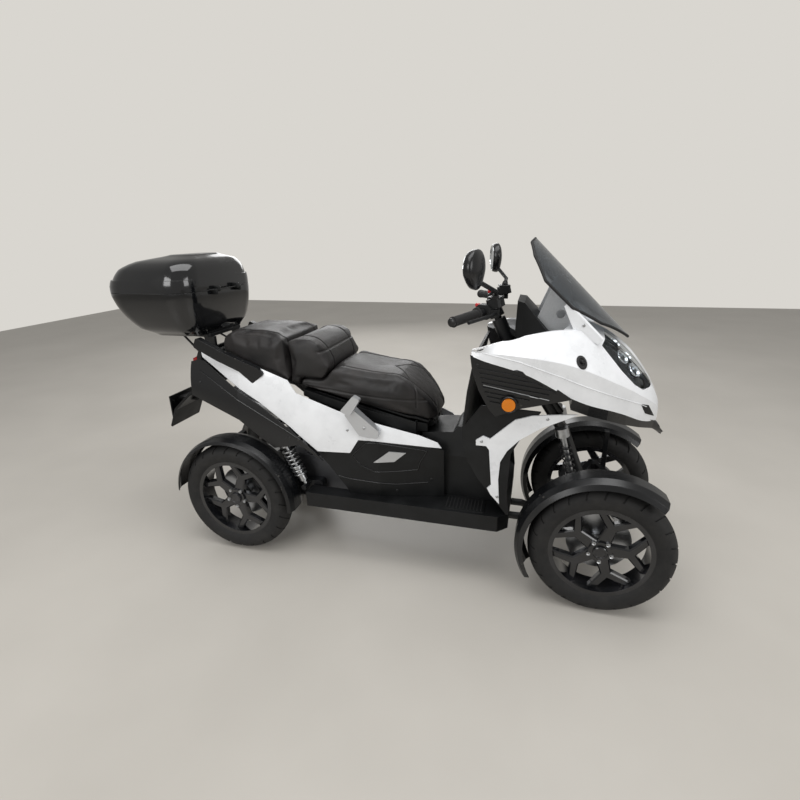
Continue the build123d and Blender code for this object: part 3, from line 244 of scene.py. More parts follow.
chrome, tree, face, place = start_finish("vacuum_plated_reflector", "#D8DADD", 0.07, metal=1.0)
facets = add(tree, "TexVoronoi", {"Vector": place, "Scale": per_mm(18)})

mirror_glass, tree, face, place = start_finish("silvered_mirror_glass", "#D4D8DA", 0.02, metal=1.0)
film = add(tree, "TexNoise", {"Vector": place, "Scale": per_mm(50), "Detail": 3.0})
add(tree, "MapRange", {"Value": film.outputs["Fac"], "To Min": 0.01, "To Max": 0.05},
    into=face["Roughness"])
print("metals:", wheel_enamel.name, powder_coat.name, cast_alloy.name, disc_steel.name, zinc.name)

# %% [markdown]
# ## Rubber, vinyl and switch nylon
# Tyres are carbon-black rubber, greyer where they are worn. Grips are softer rubber. The seat is vinyl with
# a printed leather grain of about 4 mm and a dry, slightly dusty face. The stop switches are red nylon.

# %% rubber, seat vinyl and red nylon
tyre_rubber, tree, face, place = start_finish("tyre_rubber", "#1C1C1D", 0.72)
wear = add(tree, "TexNoise", {"Vector": place, "Scale": per_mm(60), "Detail": 6.0, "Roughness": 0.7})
add(tree, "ValToRGB", {"Fac": wear.outputs["Fac"]}, into=face["Base Color"],
    stops=((0.4, "#111112"), (0.75, "#232221")))
tyre_skin = add(tree, "TexNoise", {"Vector": place, "Scale": per_mm(3), "Detail": 3.0})

grip_rubber, tree, face, place = start_finish("grip_rubber", "#161617", 0.66)
grip_skin = add(tree, "TexNoise", {"Vector": place, "Scale": per_mm(2), "Detail": 3.0})

seat_vinyl, tree, face, place = start_finish("grained_seat_vinyl", "#1D1C1D", 0.5)
hide = add(tree, "TexVoronoi", {"Vector": place, "Scale": per_mm(4.2), "Randomness": 0.9},
           feature="DISTANCE_TO_EDGE")
leather = add(tree, "MapRange", {"Value": hide.outputs["Distance"], "From Min": 0.0, "From Max": 0.12})
powder = add(tree, "TexNoise", {"Vector": place, "Scale": per_mm(130), "Detail": 7.0, "Roughness": 0.68})
add(tree, "ValToRGB", {"Fac": powder.outputs["Fac"]}, into=face["Base Color"],
    stops=((0.4, "#100F10"), (0.74, "#282423")))
add(tree, "MapRange", {"Value": powder.outputs["Fac"], "From Min": 0.35, "From Max": 0.75, "To Min": 0.4,
                       "To Max": 0.62}, into=face["Roughness"])

switch_red, tree, face, place = start_finish("red_switch_nylon", "#B3161B", 0.42)
cloud = add(tree, "TexNoise", {"Vector": place, "Scale": per_mm(9), "Detail": 3.0})
add(tree, "ValToRGB", {"Fac": cloud.outputs["Fac"]}, into=face["Base Color"],
    stops=((0.0, "#A01217"), (1.0, "#C21C20")))
print("rubber and vinyl:", tyre_rubber.name, grip_rubber.name, seat_vinyl.name)

# %% [markdown]
# ## Relief
# Most of these surfaces have a relief too fine to model: grain, ripple, prisms or a cast skin. A Bevel node
# rounds the edges of the mesh in the shading, and a Bump node lays the finish's own pattern over that. It is
# the same chain each time, so a table holds what differs.

# %% patterns laid over softened edges
RELIEF = [  # finish, pattern, depth in metres, strength
    (white_abs, lacquer_skin.outputs["Fac"], 0.00004, 1.0),
    (black_pp, mould_grain.outputs["Distance"], 0.00012, 0.7),
    (black_satin, satin_grain.outputs["Fac"], 0.00005, 1.0),
    (black_gloss, box_wave.outputs["Fac"], 0.0002, 1.0),
    (pale_nylon, nylon_fleck.outputs["Fac"], 0.00008, 1.0),
    (clear_pc, cover_wave.outputs["Fac"], 0.00003, 1.0),
    (amber_pmma, amber_prisms.outputs["Fac"], 0.0006, 1.0),
    (red_pmma, red_prisms.outputs["Fac"], 0.0006, 1.0),
    (wheel_enamel, enamel_skin.outputs["Fac"], 0.00005, 1.0),
    (powder_coat, coat_skin.outputs["Fac"], 0.00008, 1.0),
    (cast_alloy, sand_skin.outputs["Fac"], 0.0002, 1.0),
    (chrome, facets.outputs["Distance"], 0.0006, 1.0),
    (tyre_rubber, tyre_skin.outputs["Fac"], 0.00015, 1.0),
    (grip_rubber, grip_skin.outputs["Fac"], 0.0001, 1.0),
    (seat_vinyl, leather.outputs["Result"], 0.0003, 0.6),
]
for finish, height, depth, strength in RELIEF:
    tree = finish.node_tree
    face = tree.nodes["Principled BSDF"].inputs
    soft = add(tree, "Bevel", {"Radius": EDGE_RADIUS}, samples=4)
    add(tree, "Bump", {"Height": height, "Distance": depth, "Strength": strength,
                       "Normal": soft.outputs["Normal"]}, into=face["Normal"])
print("finishes with relief:", len(RELIEF))

# %% [markdown]
# ## Dressing the solids
# A CAD node keeps its shape and only gets a better finish, node by node.

# %% finishes for the solids
WHEELS = [(end, side) for end in ("front", "rear") for side in ("left", "right")]
FINISH_OF = {
    white_abs: ["front_fairing", "flanks", "leg_trims", "screen_pillars"],
    black_gloss: ["box_base", "box_lid"],
    black_satin: ["rear_guards", "side_grilles", "belly_pan", "rear_fenders", "front_fender_left",
                  "front_fender_right", "grab_handles", "tail_panel", "mirrors"],
    black_pp: ["floorboard", "centre_tunnel", "leg_shield", "lower_panels", "dashboard", "seat_bay",
               "seat_pan", "rear_mudguard", "controls"],
    smoked_pc: ["windscreen"], clear_pc: ["headlight_lenses"], amber_pmma: ["front_indicators"],
    red_pmma: ["tail_lamps"], pale_nylon: ["screen_bracket"], silver_paint: ["trim_plates", "foot_pegs"],
    powder_coat: ["frame", "swingarms", "rack", "handlebar", "front_arms"],
    cast_alloy: ["engine", "knuckle_left", "knuckle_right"],
    zinc: ["rear_shocks", "front_struts", "exhaust"],
    seat_vinyl: ["seat_rider", "seat_rear"], grip_rubber: ["grips"],
    wheel_enamel: [f"rim_{end}_{side}" for end, side in WHEELS],
    tyre_rubber: [f"tyre_{end}_{side}" for end, side in WHEELS],
    disc_steel: [f"disc_{end}_{side}" for end, side in WHEELS],
}
for finish, names in FINISH_OF.items():
    for name in names:
        mesh = frame["nodes"][name].data
        mesh.materials.clear()
        mesh.materials.append(finish)
undressed = set(frame["nodes"]) - {n for names in FINISH_OF.values() for n in names}
print("dressed solids:", sum(len(n) for n in FINISH_OF.values()), "left over:", sorted(undressed))

# %% [markdown]
# ## Modelling tools
# The small parts are made as by hand: a line is spun into a turned part, a primitive is cut and bevelled in
# edit mode, a bead is laid on a panel. These few helpers open a piece for editing, select in it by place,
# and settle it: its place goes into its mesh, its faces point outwards, and it gets its finish and the body
# it moves with.

# %% open, pick, press and settle a piece
SIDES = ((1.0, "left"), (-1.0, "right"))
DOUBLES = 0.00002       # points closer than this are one point


def fresh(*pieces):
    """Object mode, with only these pieces selected and the first of them active."""
    if bpy.context.object and bpy.context.object.mode != "OBJECT":
        bpy.ops.object.mode_set(mode="OBJECT")
    bpy.ops.object.select_all(action="DESELECT")
    for piece in reversed(pieces):
        piece.select_set(True)
        bpy.context.view_layer.objects.active = piece


def edit(piece):
    """Open one piece in edit mode with all of it selected."""
    fresh(piece)
    bpy.ops.object.mode_set(mode="EDIT")
    bpy.ops.mesh.select_all(action="SELECT")


def pick(piece, kind, test):
    """In edit mode, select the points, edges or faces whose middle and normal pass a test."""
    bpy.ops.mesh.select_mode(type=kind)
    bpy.ops.mesh.select_all(action="DESELECT")
    mesh = bmesh.from_edit_mesh(piece.data)
    count = 0
    for part in {"VERT": mesh.verts, "EDGE": mesh.edges, "FACE": mesh.faces}[kind]:
        if kind == "VERT":
            middle, normal = part.co, part.normal
        elif kind == "EDGE":
            middle = (part.verts[0].co + part.verts[1].co) / 2
            normal = sum((face.normal for face in part.link_faces), Vector())
        else:
            middle, normal = part.calc_center_median(), part.normal
        if test(middle, normal):
            part.select_set(True)
            count += 1
    bmesh.update_edit_mesh(piece.data)
    return count


def press(piece, kind, **settings):
    """Add a modifier, set it and apply it."""
    fresh(piece)
    modifier = piece.modifiers.new(kind.title(), kind)
    for key, value in settings.items():
        setattr(modifier, key, value)
    bpy.ops.object.modifier_apply(modifier=modifier.name)


def settle(piece, name, body, finish, angle=35.0):
    """Name a piece, put its place in its mesh, turn its faces outwards, and dress and mount it."""
    fresh(piece)
    bpy.ops.object.transform_apply(location=True, rotation=True, scale=True)
    edit(piece)
    bpy.ops.mesh.remove_doubles(threshold=DOUBLES)
    bpy.ops.mesh.normals_make_consistent(inside=False)
    fresh(piece)
    bpy.ops.object.shade_smooth_by_angle(angle=math.radians(angle))
    piece.name = name
    piece.data.name = name
    piece.data.materials.clear()
    piece.data.materials.append(finish)
    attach(piece, body)
    return piece


# %% turned pieces
def turned(profile, steps=40):
    """A lathe piece about Z: a line of (radius, height) points spun once round."""
    fresh()
    bpy.ops.mesh.primitive_plane_add(size=0.001)
    piece = bpy.context.object
    bpy.ops.object.mode_set(mode="EDIT")
    bpy.ops.mesh.select_mode(type="VERT")
    bpy.ops.mesh.select_all(action="SELECT")
    bpy.ops.mesh.merge(type="CENTER")
    bpy.ops.transform.translate(value=(profile[0][0], 0.0, profile[0][1]))
    for (r0, h0), (r1, h1) in zip(profile, profile[1:]):
        bpy.ops.mesh.extrude_vertices_move(TRANSFORM_OT_translate={"value": (r1 - r0, 0.0, h1 - h0)})
    bpy.ops.mesh.select_all(action="SELECT")
    bpy.ops.mesh.spin(steps=steps, angle=2 * math.pi, center=(0.0, 0.0, 0.0), axis=(0.0, 0.0, 1.0))
    bpy.ops.mesh.select_all(action="SELECT")
    bpy.ops.mesh.remove_doubles(threshold=DOUBLES)
    bpy.ops.mesh.normals_make_consistent(inside=False)
    bpy.ops.object.mode_set(mode="OBJECT")
    return piece


def facing(at, along):
    """The matrix that sets a piece's origin at a place and turns its Z along a direction."""
    return Matrix.Translation(Vector(at)) @ Vector(along).to_track_quat("Z", "Y").to_matrix().to_4x4()


def lathe(profile, steps, at, along, name, body, finish, slot, angle=35.0):
    """A turned piece, set at a place along a direction and settled."""
    piece = turned(profile, steps)
    piece.matrix_world = facing(at, along)
    return settle(piece, name, body, finish, angle)


# %% new objects, copies and mirror images
def placed(name, data):
    """A new object in the scene for a mesh or a curve."""
    piece = bpy.data.objects.new(name, data)
    bpy.context.collection.objects.link(piece)
    return piece


def drawn(mesh):
    """A new object for a mesh drawn point by point; the drawing is used up."""
    data = bpy.data.meshes.new("drawn")
    mesh.to_mesh(data)
    mesh.free()
    return placed("drawn", data)


def twin(piece):
    """A copy of a piece with a mesh of its own."""
    other = placed(piece.name, piece.data.copy())
    other.matrix_world = piece.matrix_world.copy()
    return other


def flipped(place, side):
    """A place given for the left, on the side asked for."""
    return Vector((place[0], place[1] * side, place[2]))


def joined(pieces):
    """Several pieces made one."""
    fresh(*pieces)
    if len(pieces) > 1:
        bpy.ops.object.join()
    return pieces[0]


def scatter(piece, matrices):
    """Copies of one piece at several places, joined into one; the pattern itself is used up."""
    made = []
    for matrix in matrices:
        made.append(twin(piece))
        made[-1].matrix_world = matrix @ piece.matrix_world
    bpy.data.objects.remove(piece)
    return joined(made)


def other_side(piece, name, body):
    """The mirror image of a settled piece across the middle of the scooter, mounted in the same way."""
    other = twin(piece)
    other.scale.y = -1.0
    fresh(other)
    bpy.ops.object.transform_apply(location=False, rotation=False, scale=True)
    edit(other)
    bpy.ops.mesh.normals_make_consistent(inside=False)
    fresh(other)
    other.name = name
    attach(other, body)
    return other


# %% rays and beads on the panels
SHAPES = {}     # search trees of the solids that rays have been sent to


def on_panel(node, start, direction):
    """Where a ray meets a solid: the place and the surface's normal, or None."""
    if node not in SHAPES:
        mesh = frame["nodes"][node].data
        faces = [face.vertices for face in mesh.polygons]
        SHAPES[node] = BVHTree.FromPolygons([point.co for point in mesh.vertices], faces)
    place, normal = SHAPES[node].ray_cast(Vector(start), Vector(direction).normalized())[:2]
    return (place, normal) if place else None


def bead(points, gauge, closed=False):
    """A round bead or rod of one gauge through points, as a mesh."""
    line = bpy.data.curves.new("bead", "CURVE")
    line.dimensions = "3D"
    line.bevel_depth = gauge / 2
    line.bevel_resolution = 2
    line.use_fill_caps = True
    spline = line.splines.new("POLY")
    spline.points.add(len(points) - 1)
    for knot, place in zip(spline.points, points):
        knot.co = (*place, 1.0)
    spline.use_cyclic_u = closed
    fresh(placed("bead", line))
    bpy.ops.object.convert(target="MESH")
    return bpy.context.object


def along_panel(node, route, side, step=0.008):
    """Points on a panel under a route of (x, z) points, seen from its side of the scooter."""
    found = []
    for (x0, z0), (x1, z1) in zip(route, route[1:]):
        count = max(2, int(math.dist((x0, z0), (x1, z1)) / step))
        for i in range(count):
            x, z = x0 + (x1 - x0) * i / count, z0 + (z1 - z0) * i / count
            found.append(on_panel(node, (x, side, z), (0, -side, 0)))
    return [spot[0] for spot in found if spot]


def from_front(*points):
    """(x, z) pairs in millimetres ahead of the front axle and above the floor, in metres."""
    return [(front_x + x / 1000, z / 1000) for x, z in points]


def from_rear(*points):
    """(x, z) pairs in millimetres ahead of the rear axle and above the floor, in metres."""
    return [(rear_x + x / 1000, z / 1000) for x, z in points]


# %% blocks, and places on the solids
def rounded_block(size, at, bevel, turn=0.0, dish=0.0):
    """A moulded block with rounded edges and, if asked, a dished top."""
    fresh()
    bpy.ops.mesh.primitive_cube_add(size=1.0)
    piece = bpy.context.object
    piece.scale = size
    bpy.ops.object.transform_apply(location=False, rotation=False, scale=True)
    edit(piece)
    bpy.ops.mesh.bevel(offset=bevel, segments=3, affect="EDGES")
    if dish:
        pick(piece, "FACE", lambda middle, normal: normal.z > 0.98)
        bpy.ops.mesh.inset(thickness=min(size[0], size[1]) * 0.16)
        bpy.ops.transform.translate(value=(0.0, 0.0, -dish))
    fresh(piece)
    piece.matrix_world = Matrix.Translation(Vector(at)) @ Matrix.Rotation(turn, 4, "Z")
    return piece


def middle_of(node):
    """Middle of a solid's box."""
    low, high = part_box(node)
    return (Vector(low) + Vector(high)) / 2


def frame_joint(name):
    """Where a joint's axis crosses the middle of the scooter, as (x, z)."""
    at = next(joint["pos_m"] for joint in frame["joints"] if joint["name"] == name)
    return at[0], at[2]


bpy.context.view_layer.update()
front_x, rear_x = middle_of("tyre_front_left").x, middle_of("tyre_rear_left").x
print("axles at", round(front_x, 4), round(rear_x, 4))

# %% [markdown]
# ## Tyres
# A scooter tyre has a round crown, a soft shoulder and a flat bead. Its section is drawn once as a closed
# line and spun about the axle. The tread is cut from the crown afterwards: the rows of faces are first
# leaned over, so that a groove that follows one row of faces runs diagonally to the shoulder, as rain
# grooves do.

# %% one tyre with its tread
tyre_low, tyre_high = (Vector(p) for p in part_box("tyre_front_left"))
TYRE_RADIUS = (tyre_high.z - tyre_low.z) / 2
TYRE_HALF = (tyre_high.y - tyre_low.y) / 2
BEAD_RADIUS, BEAD_HALF = 0.1803, 0.0357     # where the tyre sits on the rim
CROWN_FROM = 0.225                          # the widest place, where the crown's curve begins
ROUNDNESS, CROWN_POINTS = 0.92, 15          # under 1 the crown is fuller than an ellipse
STEPS, GROOVE_EVERY, GROOVE_DEPTH, GROOVE_EDGE, LEAN = 168, 7, 0.0042, 0.0012, 2.6

section = [(BEAD_RADIUS, BEAD_HALF), (0.192, 0.0452), (0.208, 0.0528)]
for i in range(CROWN_POINTS):
    turn = math.radians(90 - 180 / (CROWN_POINTS - 1) * i)
    round_share = math.copysign(abs(math.sin(turn)) ** ROUNDNESS, turn)
    rise = (TYRE_RADIUS - CROWN_FROM) * math.cos(turn) ** ROUNDNESS
    section.append((CROWN_FROM + rise, TYRE_HALF * round_share))
section += [(0.208, -0.0528), (0.192, -0.0452), (BEAD_RADIUS, -BEAD_HALF), (BEAD_RADIUS, BEAD_HALF)]
tyre = turned(section, STEPS)

edit(tyre)
mesh = bmesh.from_edit_mesh(tyre.data)
for point in mesh.verts:
    point.co.rotate(Matrix.Rotation(LEAN * abs(point.co.z), 3, "Z"))
bmesh.update_edit_mesh(tyre.data)


def in_groove(middle, normal):
    """True for crown faces in every seventh row, one half of the crown half a pitch behind the other."""
    reach = math.hypot(middle.x, middle.y)
    if reach < CROWN_FROM + 0.012 or abs(middle.z) < 0.004:
        return False
    around = (math.atan2(middle.y, middle.x) - LEAN * abs(middle.z)) % (2 * math.pi)
    row = int(around / (2 * math.pi) * STEPS)
    late = GROOVE_EVERY // 2 if middle.z > 0 else 0
    return (row + late) % GROOVE_EVERY == 0


cut = pick(tyre, "FACE", in_groove)
bpy.ops.mesh.inset(thickness=GROOVE_EDGE, depth=0.0, use_even_offset=False)
bpy.ops.mesh.extrude_region_shrink_fatten(TRANSFORM_OT_shrink_fatten={"value": -GROOVE_DEPTH})
fresh(tyre)
print("tread faces cut:", cut, "tyre faces:", len(tyre.data.polygons))

# %% four tyres on their wheels
for end, side in WHEELS:
    piece = twin(tyre)
    across = Vector((0.0, 1.0 if side == "left" else -1.0, 0.0))
    piece.matrix_world = facing(middle_of(f"tyre_{end}_{side}"), across)
    settle(piece, f"treaded_tyre_{end}_{side}", f"wheel_{end}_{side}", tyre_rubber, angle=32)
    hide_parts(f"tyre_{end}_{side}")
bpy.data.objects.remove(tyre)
print("tyres:", len(WHEELS))

# %% [markdown]
# ## Wheel fittings
# Each hub carries a pressed cap with a raised rim and a ring of hexagonal nuts. The cap is turned, the nut
# is a six-sided cylinder with its corners cut, and both are set where a ray along the axle meets the rim.

# %% caps and nuts
CAP = [(0.0, 0.009), (0.012, 0.0095), (0.0185, 0.0085), (0.0195, 0.0105), (0.0235, 0.0105), (0.0265, 0.008),
       (0.0275, 0.0), (0.0, 0.0)]
NUT_COUNT, NUT_CIRCLE, NUT_SIZE, NUT_HEIGHT = 5, 0.043, 0.017, 0.011
OFF_BORE = 0.022        # a ray down the axle itself would go through the bore


def hex_nut(size, height):
    """A nut: a six-sided cylinder whose top edge is chamfered and whose top is sunk for the stud."""
    fresh()
    bpy.ops.mesh.primitive_cylinder_add(vertices=6, radius=size / 2, depth=height,
                                        location=(0, 0, height / 2))
    piece = bpy.context.object
    edit(piece)
    pick(piece, "FACE", lambda middle, normal: normal.z > 0.9)
    bpy.ops.mesh.bevel(offset=size * 0.09, segments=2)
    pick(piece, "FACE",
         lambda middle, normal: normal.z > 0.99 and math.hypot(middle.x, middle.y) < size * 0.05)
    bpy.ops.mesh.inset(thickness=size * 0.14)
    bpy.ops.transform.translate(value=(0.0, 0.0, -height * 0.25))
    fresh(piece)
    bpy.ops.object.transform_apply(location=True)
    return piece


for end, side in WHEELS:
    rim = f"rim_{end}_{side}"
    out = Vector((0.0, 1.0 if side == "left" else -1.0, 0.0))
    hub = middle_of(rim)
    face = on_panel(rim, hub + out * 0.3 + Vector((0.0, 0.0, OFF_BORE)), -out)[0]
    lathe(CAP, 36, (hub.x, face.y - out.y * 0.001, hub.z), out, f"hub_cap_{end}_{side}",
          f"wheel_{end}_{side}", wheel_enamel, "wheel_black", angle=28)
    spots = []
    for i in range(NUT_COUNT):
        around = math.radians(126 + 360 / NUT_COUNT * i)
        over = hub + Vector((math.cos(around), 0.0, math.sin(around))) * NUT_CIRCLE
        spot = on_panel(rim, over + out * 0.3, -out)
        if spot:
            spots.append(facing(spot[0] - out * 0.0008, out))
    nuts = scatter(hex_nut(NUT_SIZE, NUT_HEIGHT), spots)
    settle(nuts, f"wheel_nuts_{end}_{side}", f"wheel_{end}_{side}", zinc, angle=25)
print("hub fittings on", len(WHEELS), "wheels, nuts each:", len(spots))

# %% [markdown]
# ## Seat
# The seat is foam under black vinyl: a dipped saddle for the rider, and a raised pad behind with a bolster
# that the rider leans on. Each pad starts as a copy of its solid, a little smaller, cut into small even
# faces and rounded, and a cloth solver blows it up like foam that pushes against its cover. The flat
# underside is held. The seams are pressed in after that: one runs round each top panel, parallel to its
# edge.

# %% pads swollen by cloth pressure
VOXEL, SHRINK, SWELL_CAP = 0.006, 0.003, 0.008
PRESSURE, CLOTH_FRAMES = 4.0, 20
SEAM_HALF_WIDTH, SEAM_DEPTH = 0.006, 0.003


def foam_pad(name, node, keep=None):
    """A cushion grown from a solid: remeshed, rounded, and swollen by pressure up to a cap."""
    piece = placed(name, frame["nodes"][node].data.copy())
    edit(piece)
    bpy.ops.mesh.remove_doubles(threshold=DOUBLES)
    if keep:
        pick(piece, "FACE", lambda middle, normal: not keep(middle))
        bpy.ops.mesh.delete(type="FACE")
    fresh(piece)
    press(piece, "REMESH", mode="VOXEL", voxel_size=VOXEL)
    edit(piece)
    bpy.ops.mesh.vertices_smooth(factor=0.5, repeat=14)
    bpy.ops.transform.shrink_fatten(value=-SHRINK)
    fresh(piece)
    held = piece.vertex_groups.new(name="held")
    flat = [v.index for v in piece.data.vertices if v.normal.z < -0.55]
    held.add(flat, 1.0, "REPLACE")
    start = [v.co.copy() for v in piece.data.vertices]
    cloth = piece.modifiers.new("Cloth", "CLOTH")
    cloth.settings.quality = 4
    cloth.settings.use_pressure = True
    cloth.settings.uniform_pressure_force = PRESSURE
    cloth.settings.effector_weights.gravity = 0.0
    cloth.settings.vertex_group_mass = "held"
    cloth.collision_settings.use_collision = False
    cloth.point_cache.frame_start, cloth.point_cache.frame_end = 1, 24
    for number in range(1, CLOTH_FRAMES + 1):
        bpy.context.scene.frame_set(number)
    blown = piece.evaluated_get(bpy.context.evaluated_depsgraph_get()).data.vertices
    moved = []
    for was, now in zip(start, blown):
        shift = now.co - was
        moved.append(was + shift * min(1.0, SWELL_CAP / max(shift.length, 1e-9)))
    piece.modifiers.remove(cloth)
    for point, place in zip(piece.data.vertices, moved):
        point.co = place
    bpy.context.scene.frame_set(1)
    piece.vertex_groups.clear()
    edit(piece)
    bpy.ops.mesh.vertices_smooth(factor=0.5, repeat=3)
    fresh(piece)
    press(piece, "SUBSURF", levels=1, render_levels=1)
    return piece


def widths(piece, step=0.012):
    """Half width of a pad at each step along it, to run a seam parallel to its edge."""
    half = {}
    for point in piece.data.vertices:
        key = round(point.co.x / step)
        half[key] = max(half.get(key, 0.0), abs(point.co.y))
    return lambda x: half.get(round(x / step), 0.1)


def press_seams(piece, *seams):
    """Sink a soft groove wherever one of the distance functions is near nought."""
    ways = [(point.co.copy(), point.normal.copy()) for point in piece.data.vertices]
    sunk = 0
    for point, (at, normal) in zip(piece.data.vertices, ways):
        gap = min(abs(away(at, normal)) for away in seams) / SEAM_HALF_WIDTH
        if gap < 1.0:
            point.co = at - normal * SEAM_DEPTH * (1.0 - gap * gap)
            sunk += 1
    piece.data.update()
    return sunk


# %% the three pads
PAD_SPLIT = rear_x + 0.285      # between the raised pad and the bolster
NOSE_SEAM, NOSE_BOW = rear_x + 0.800, 0.9
SIDE_SEAM, SIDE_FALL, BOLSTER_SEAM = 0.792, 0.1, 0.955      # heights, and the fall per metre ahead
rider = foam_pad("seat_pad_rider", "seat_rider")
passenger = foam_pad("seat_pad_passenger", "seat_rear", lambda middle: middle.x < PAD_SPLIT)
bolster = foam_pad("seat_pad_bolster", "seat_rear", lambda middle: middle.x > PAD_SPLIT)


def top_panel(pad, share):
    """Distance to the seam that runs along each side of a pad's top panel."""
    half = widths(pad)
    return lambda at, n: abs(at.y) - half(at.x) * share if n.z > 0.0 or n.x > 0.3 else 1.0


def nose_seam(at, n):
    """Distance to the seam that crosses the rider's pad before its nose, bowed towards the knees."""
    return at.x - NOSE_SEAM - NOSE_BOW * (abs(at.y) - 0.1) if n.z > 0.0 else 1.0


def side_seam(at, n):
    """Distance to the seam along the side of the rider's pad."""
    return at.z - SIDE_SEAM + SIDE_FALL * (at.x - rear_x - 0.478) if abs(n.y) > 0.5 else 1.0


def bolster_seam(at, n):
    """Distance to the seam across the face of the bolster."""
    return at.z - BOLSTER_SEAM if n.x > 0.3 else 1.0


print("points in seams:", press_seams(rider, top_panel(rider, 0.66), nose_seam, side_seam),
      press_seams(passenger, top_panel(passenger, 0.7)),
      press_seams(bolster, top_panel(bolster, 0.62), bolster_seam))
for pad in (rider, passenger, bolster):
    settle(pad, pad.name, "seat", seat_vinyl, angle=60)
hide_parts("seat_rider")
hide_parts("seat_rear")
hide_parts("seat_rear")

# %% [markdown]
# ## Top box
# The box is two moulded shells with round corners, a polished face and a dark joint between them. The
# solids have flat chamfers there, so each shell is drawn again through the same sections with round corners
# and eased between them, ring by ring in mesh code, because no single operator lofts rounded rectangles. A
# Solidify modifier gives it its wall. A small step in the lid makes the crease that runs round it. A rubber
# strip closes the joint.

# %% rounded shells
BOX_LONG, BOX_WALL, CORNER_POINTS = 0.440, 0.005, 9
box_low, box_high = (Vector(p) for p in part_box("box_base"))
box_side, box_back = box_high.y, box_low.x
LID_HEIGHT, LIP = 0.149, 0.006     # the tub stops a lip's height below its solid's top
# Sections: in from the rear, the front and each side in millimetres, share of the height, corner radius.
BASE_SECTIONS = [(150, 30, 87, 0.0, 70), (90, 15, 40, 0.18, 90), (40, 6, 14, 0.49, 100),
                 (8, 0, 2, 0.82, 105), (0, 0, 0, 1.0, 105)]
LID_SECTIONS = [(0, 0, 0, 0.0, 105), (6, 0, 2, 0.27, 105), (42, 8, 22, 0.63, 95), (116, 26, 58, 0.84, 80),
                (246, 70, 142, 1.0, 50)]
CREASE_AT, CREASE_STEP = 0.34, 0.005


def eased(rows, share):
    """The section at a share of the height, by a curve through the listed sections."""
    k = max(i for i in range(len(rows) - 1) if rows[i][3] <= share + 1e-9)
    a, b = rows[k], rows[k + 1]
    before, after = rows[max(k - 1, 0)], rows[min(k + 2, len(rows) - 1)]
    t = (share - a[3]) / (b[3] - a[3])
    mixed = []
    for p, q, r, s in zip(before, a, b, after):
        square, cube = 2 * p - 5 * q + 4 * r - s, 3 * q - p - 3 * r + s
        mixed.append(0.5 * (2 * q + (r - p) * t + square * t * t + cube * t ** 3))
    return mixed


def box_ring(row, z, inset=0.0):
    """A rounded rectangle of points at one height."""
    rear, front, side, share, corner = (value / 1000 for value in row)
    x_low, x_high = box_back + rear + inset, box_back + BOX_LONG - front - inset
    y_high, r = box_side - side - inset, corner
    ring = []
    for turn, x, y in ((0, x_high - r, y_high - r), (90, x_low + r, y_high - r),
                       (180, x_low + r, r - y_high), (270, x_high - r, r - y_high)):
        for i in range(CORNER_POINTS):
            around = math.radians(turn + 90 * i / (CORNER_POINTS - 1))
            ring.append(Vector((x + r * math.cos(around), y + r * math.sin(around), z)))
    return ring


def shell_of_rings(rings, cap_first):
    """A surface through rings of points, closed at its first or last ring and given its wall inwards."""
    mesh = bmesh.new()
    rows = [[mesh.verts.new(place) for place in ring] for ring in rings]
    count = len(rings[0])
    for below, over in zip(rows, rows[1:]):
        for i in range(count):
            mesh.faces.new((below[i], below[(i + 1) % count], over[(i + 1) % count], over[i]))
    mesh.faces.new(rows[0] if cap_first else rows[-1])
    bmesh.ops.recalc_face_normals(mesh, faces=mesh.faces)
    piece = drawn(mesh)
    edit(piece)
    bpy.ops.mesh.normals_make_consistent(inside=False)
    press(piece, "SOLIDIFY", thickness=BOX_WALL, offset=-1.0, use_even_offset=True)
    return piece


SHARES = [0.0, 0.04, 0.09, 0.18, 0.28, 0.38, 0.49, 0.6, 0.71, 0.82, 0.91, 1.0]
LID_SHARES = [0.0, 0.08, 0.16, 0.27, CREASE_AT, CREASE_AT + 0.001, 0.42, 0.5, 0.57, 0.63, 0.7, 0.77, 0.84,
              0.9, 0.95, 0.98, 1.0]
lid_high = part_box("box_lid")[1].z
lid_low, base_height = lid_high - LID_HEIGHT, box_high.z - LIP - box_low.z
base_rings = [box_ring(eased(BASE_SECTIONS, share), box_low.z + share * base_height) for share in SHARES]
lid_rings = [box_ring(eased(LID_SECTIONS, share), lid_low + share * (lid_high - lid_low),
                      CREASE_STEP if share > CREASE_AT else 0.0) for share in LID_SHARES]
for name, node, body, rings, cap_first in (("box_tub", "box_base", "chassis", base_rings, True),
                                           ("box_cover", "box_lid", "lid", lid_rings, False)):
    piece = shell_of_rings(rings, cap_first)
    fresh(piece)
    bpy.ops.object.shade_smooth_by_angle(angle=math.radians(32))
    piece.name = name
    piece.data.materials.append(black_gloss)
    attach(piece, body)
    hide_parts(node)
    print(name, "faces:", len(piece.data.polygons))

# %% hinge blocks
HINGE_LONG, HINGE_TALL, HINGE_BACK, HINGE_BEVEL = 0.034, 0.024, 0.006, 0.003
hinge_x, hinge_z = frame_joint("lid_hinge")
for name, body, wide, y, lift in (("box_hinge_lugs", "chassis", 0.013, 0.089, -0.005),
                                  ("box_hinge_eyes", "lid", 0.019, 0.0705, 0.006)):
    size, at = (HINGE_LONG, wide, HINGE_TALL), (hinge_x - HINGE_BACK, y, hinge_z + lift)
    pair = [rounded_block(size, flipped(at, side), HINGE_BEVEL) for side, word in SIDES]
    settle(joined(pair), name, body, black_pp)

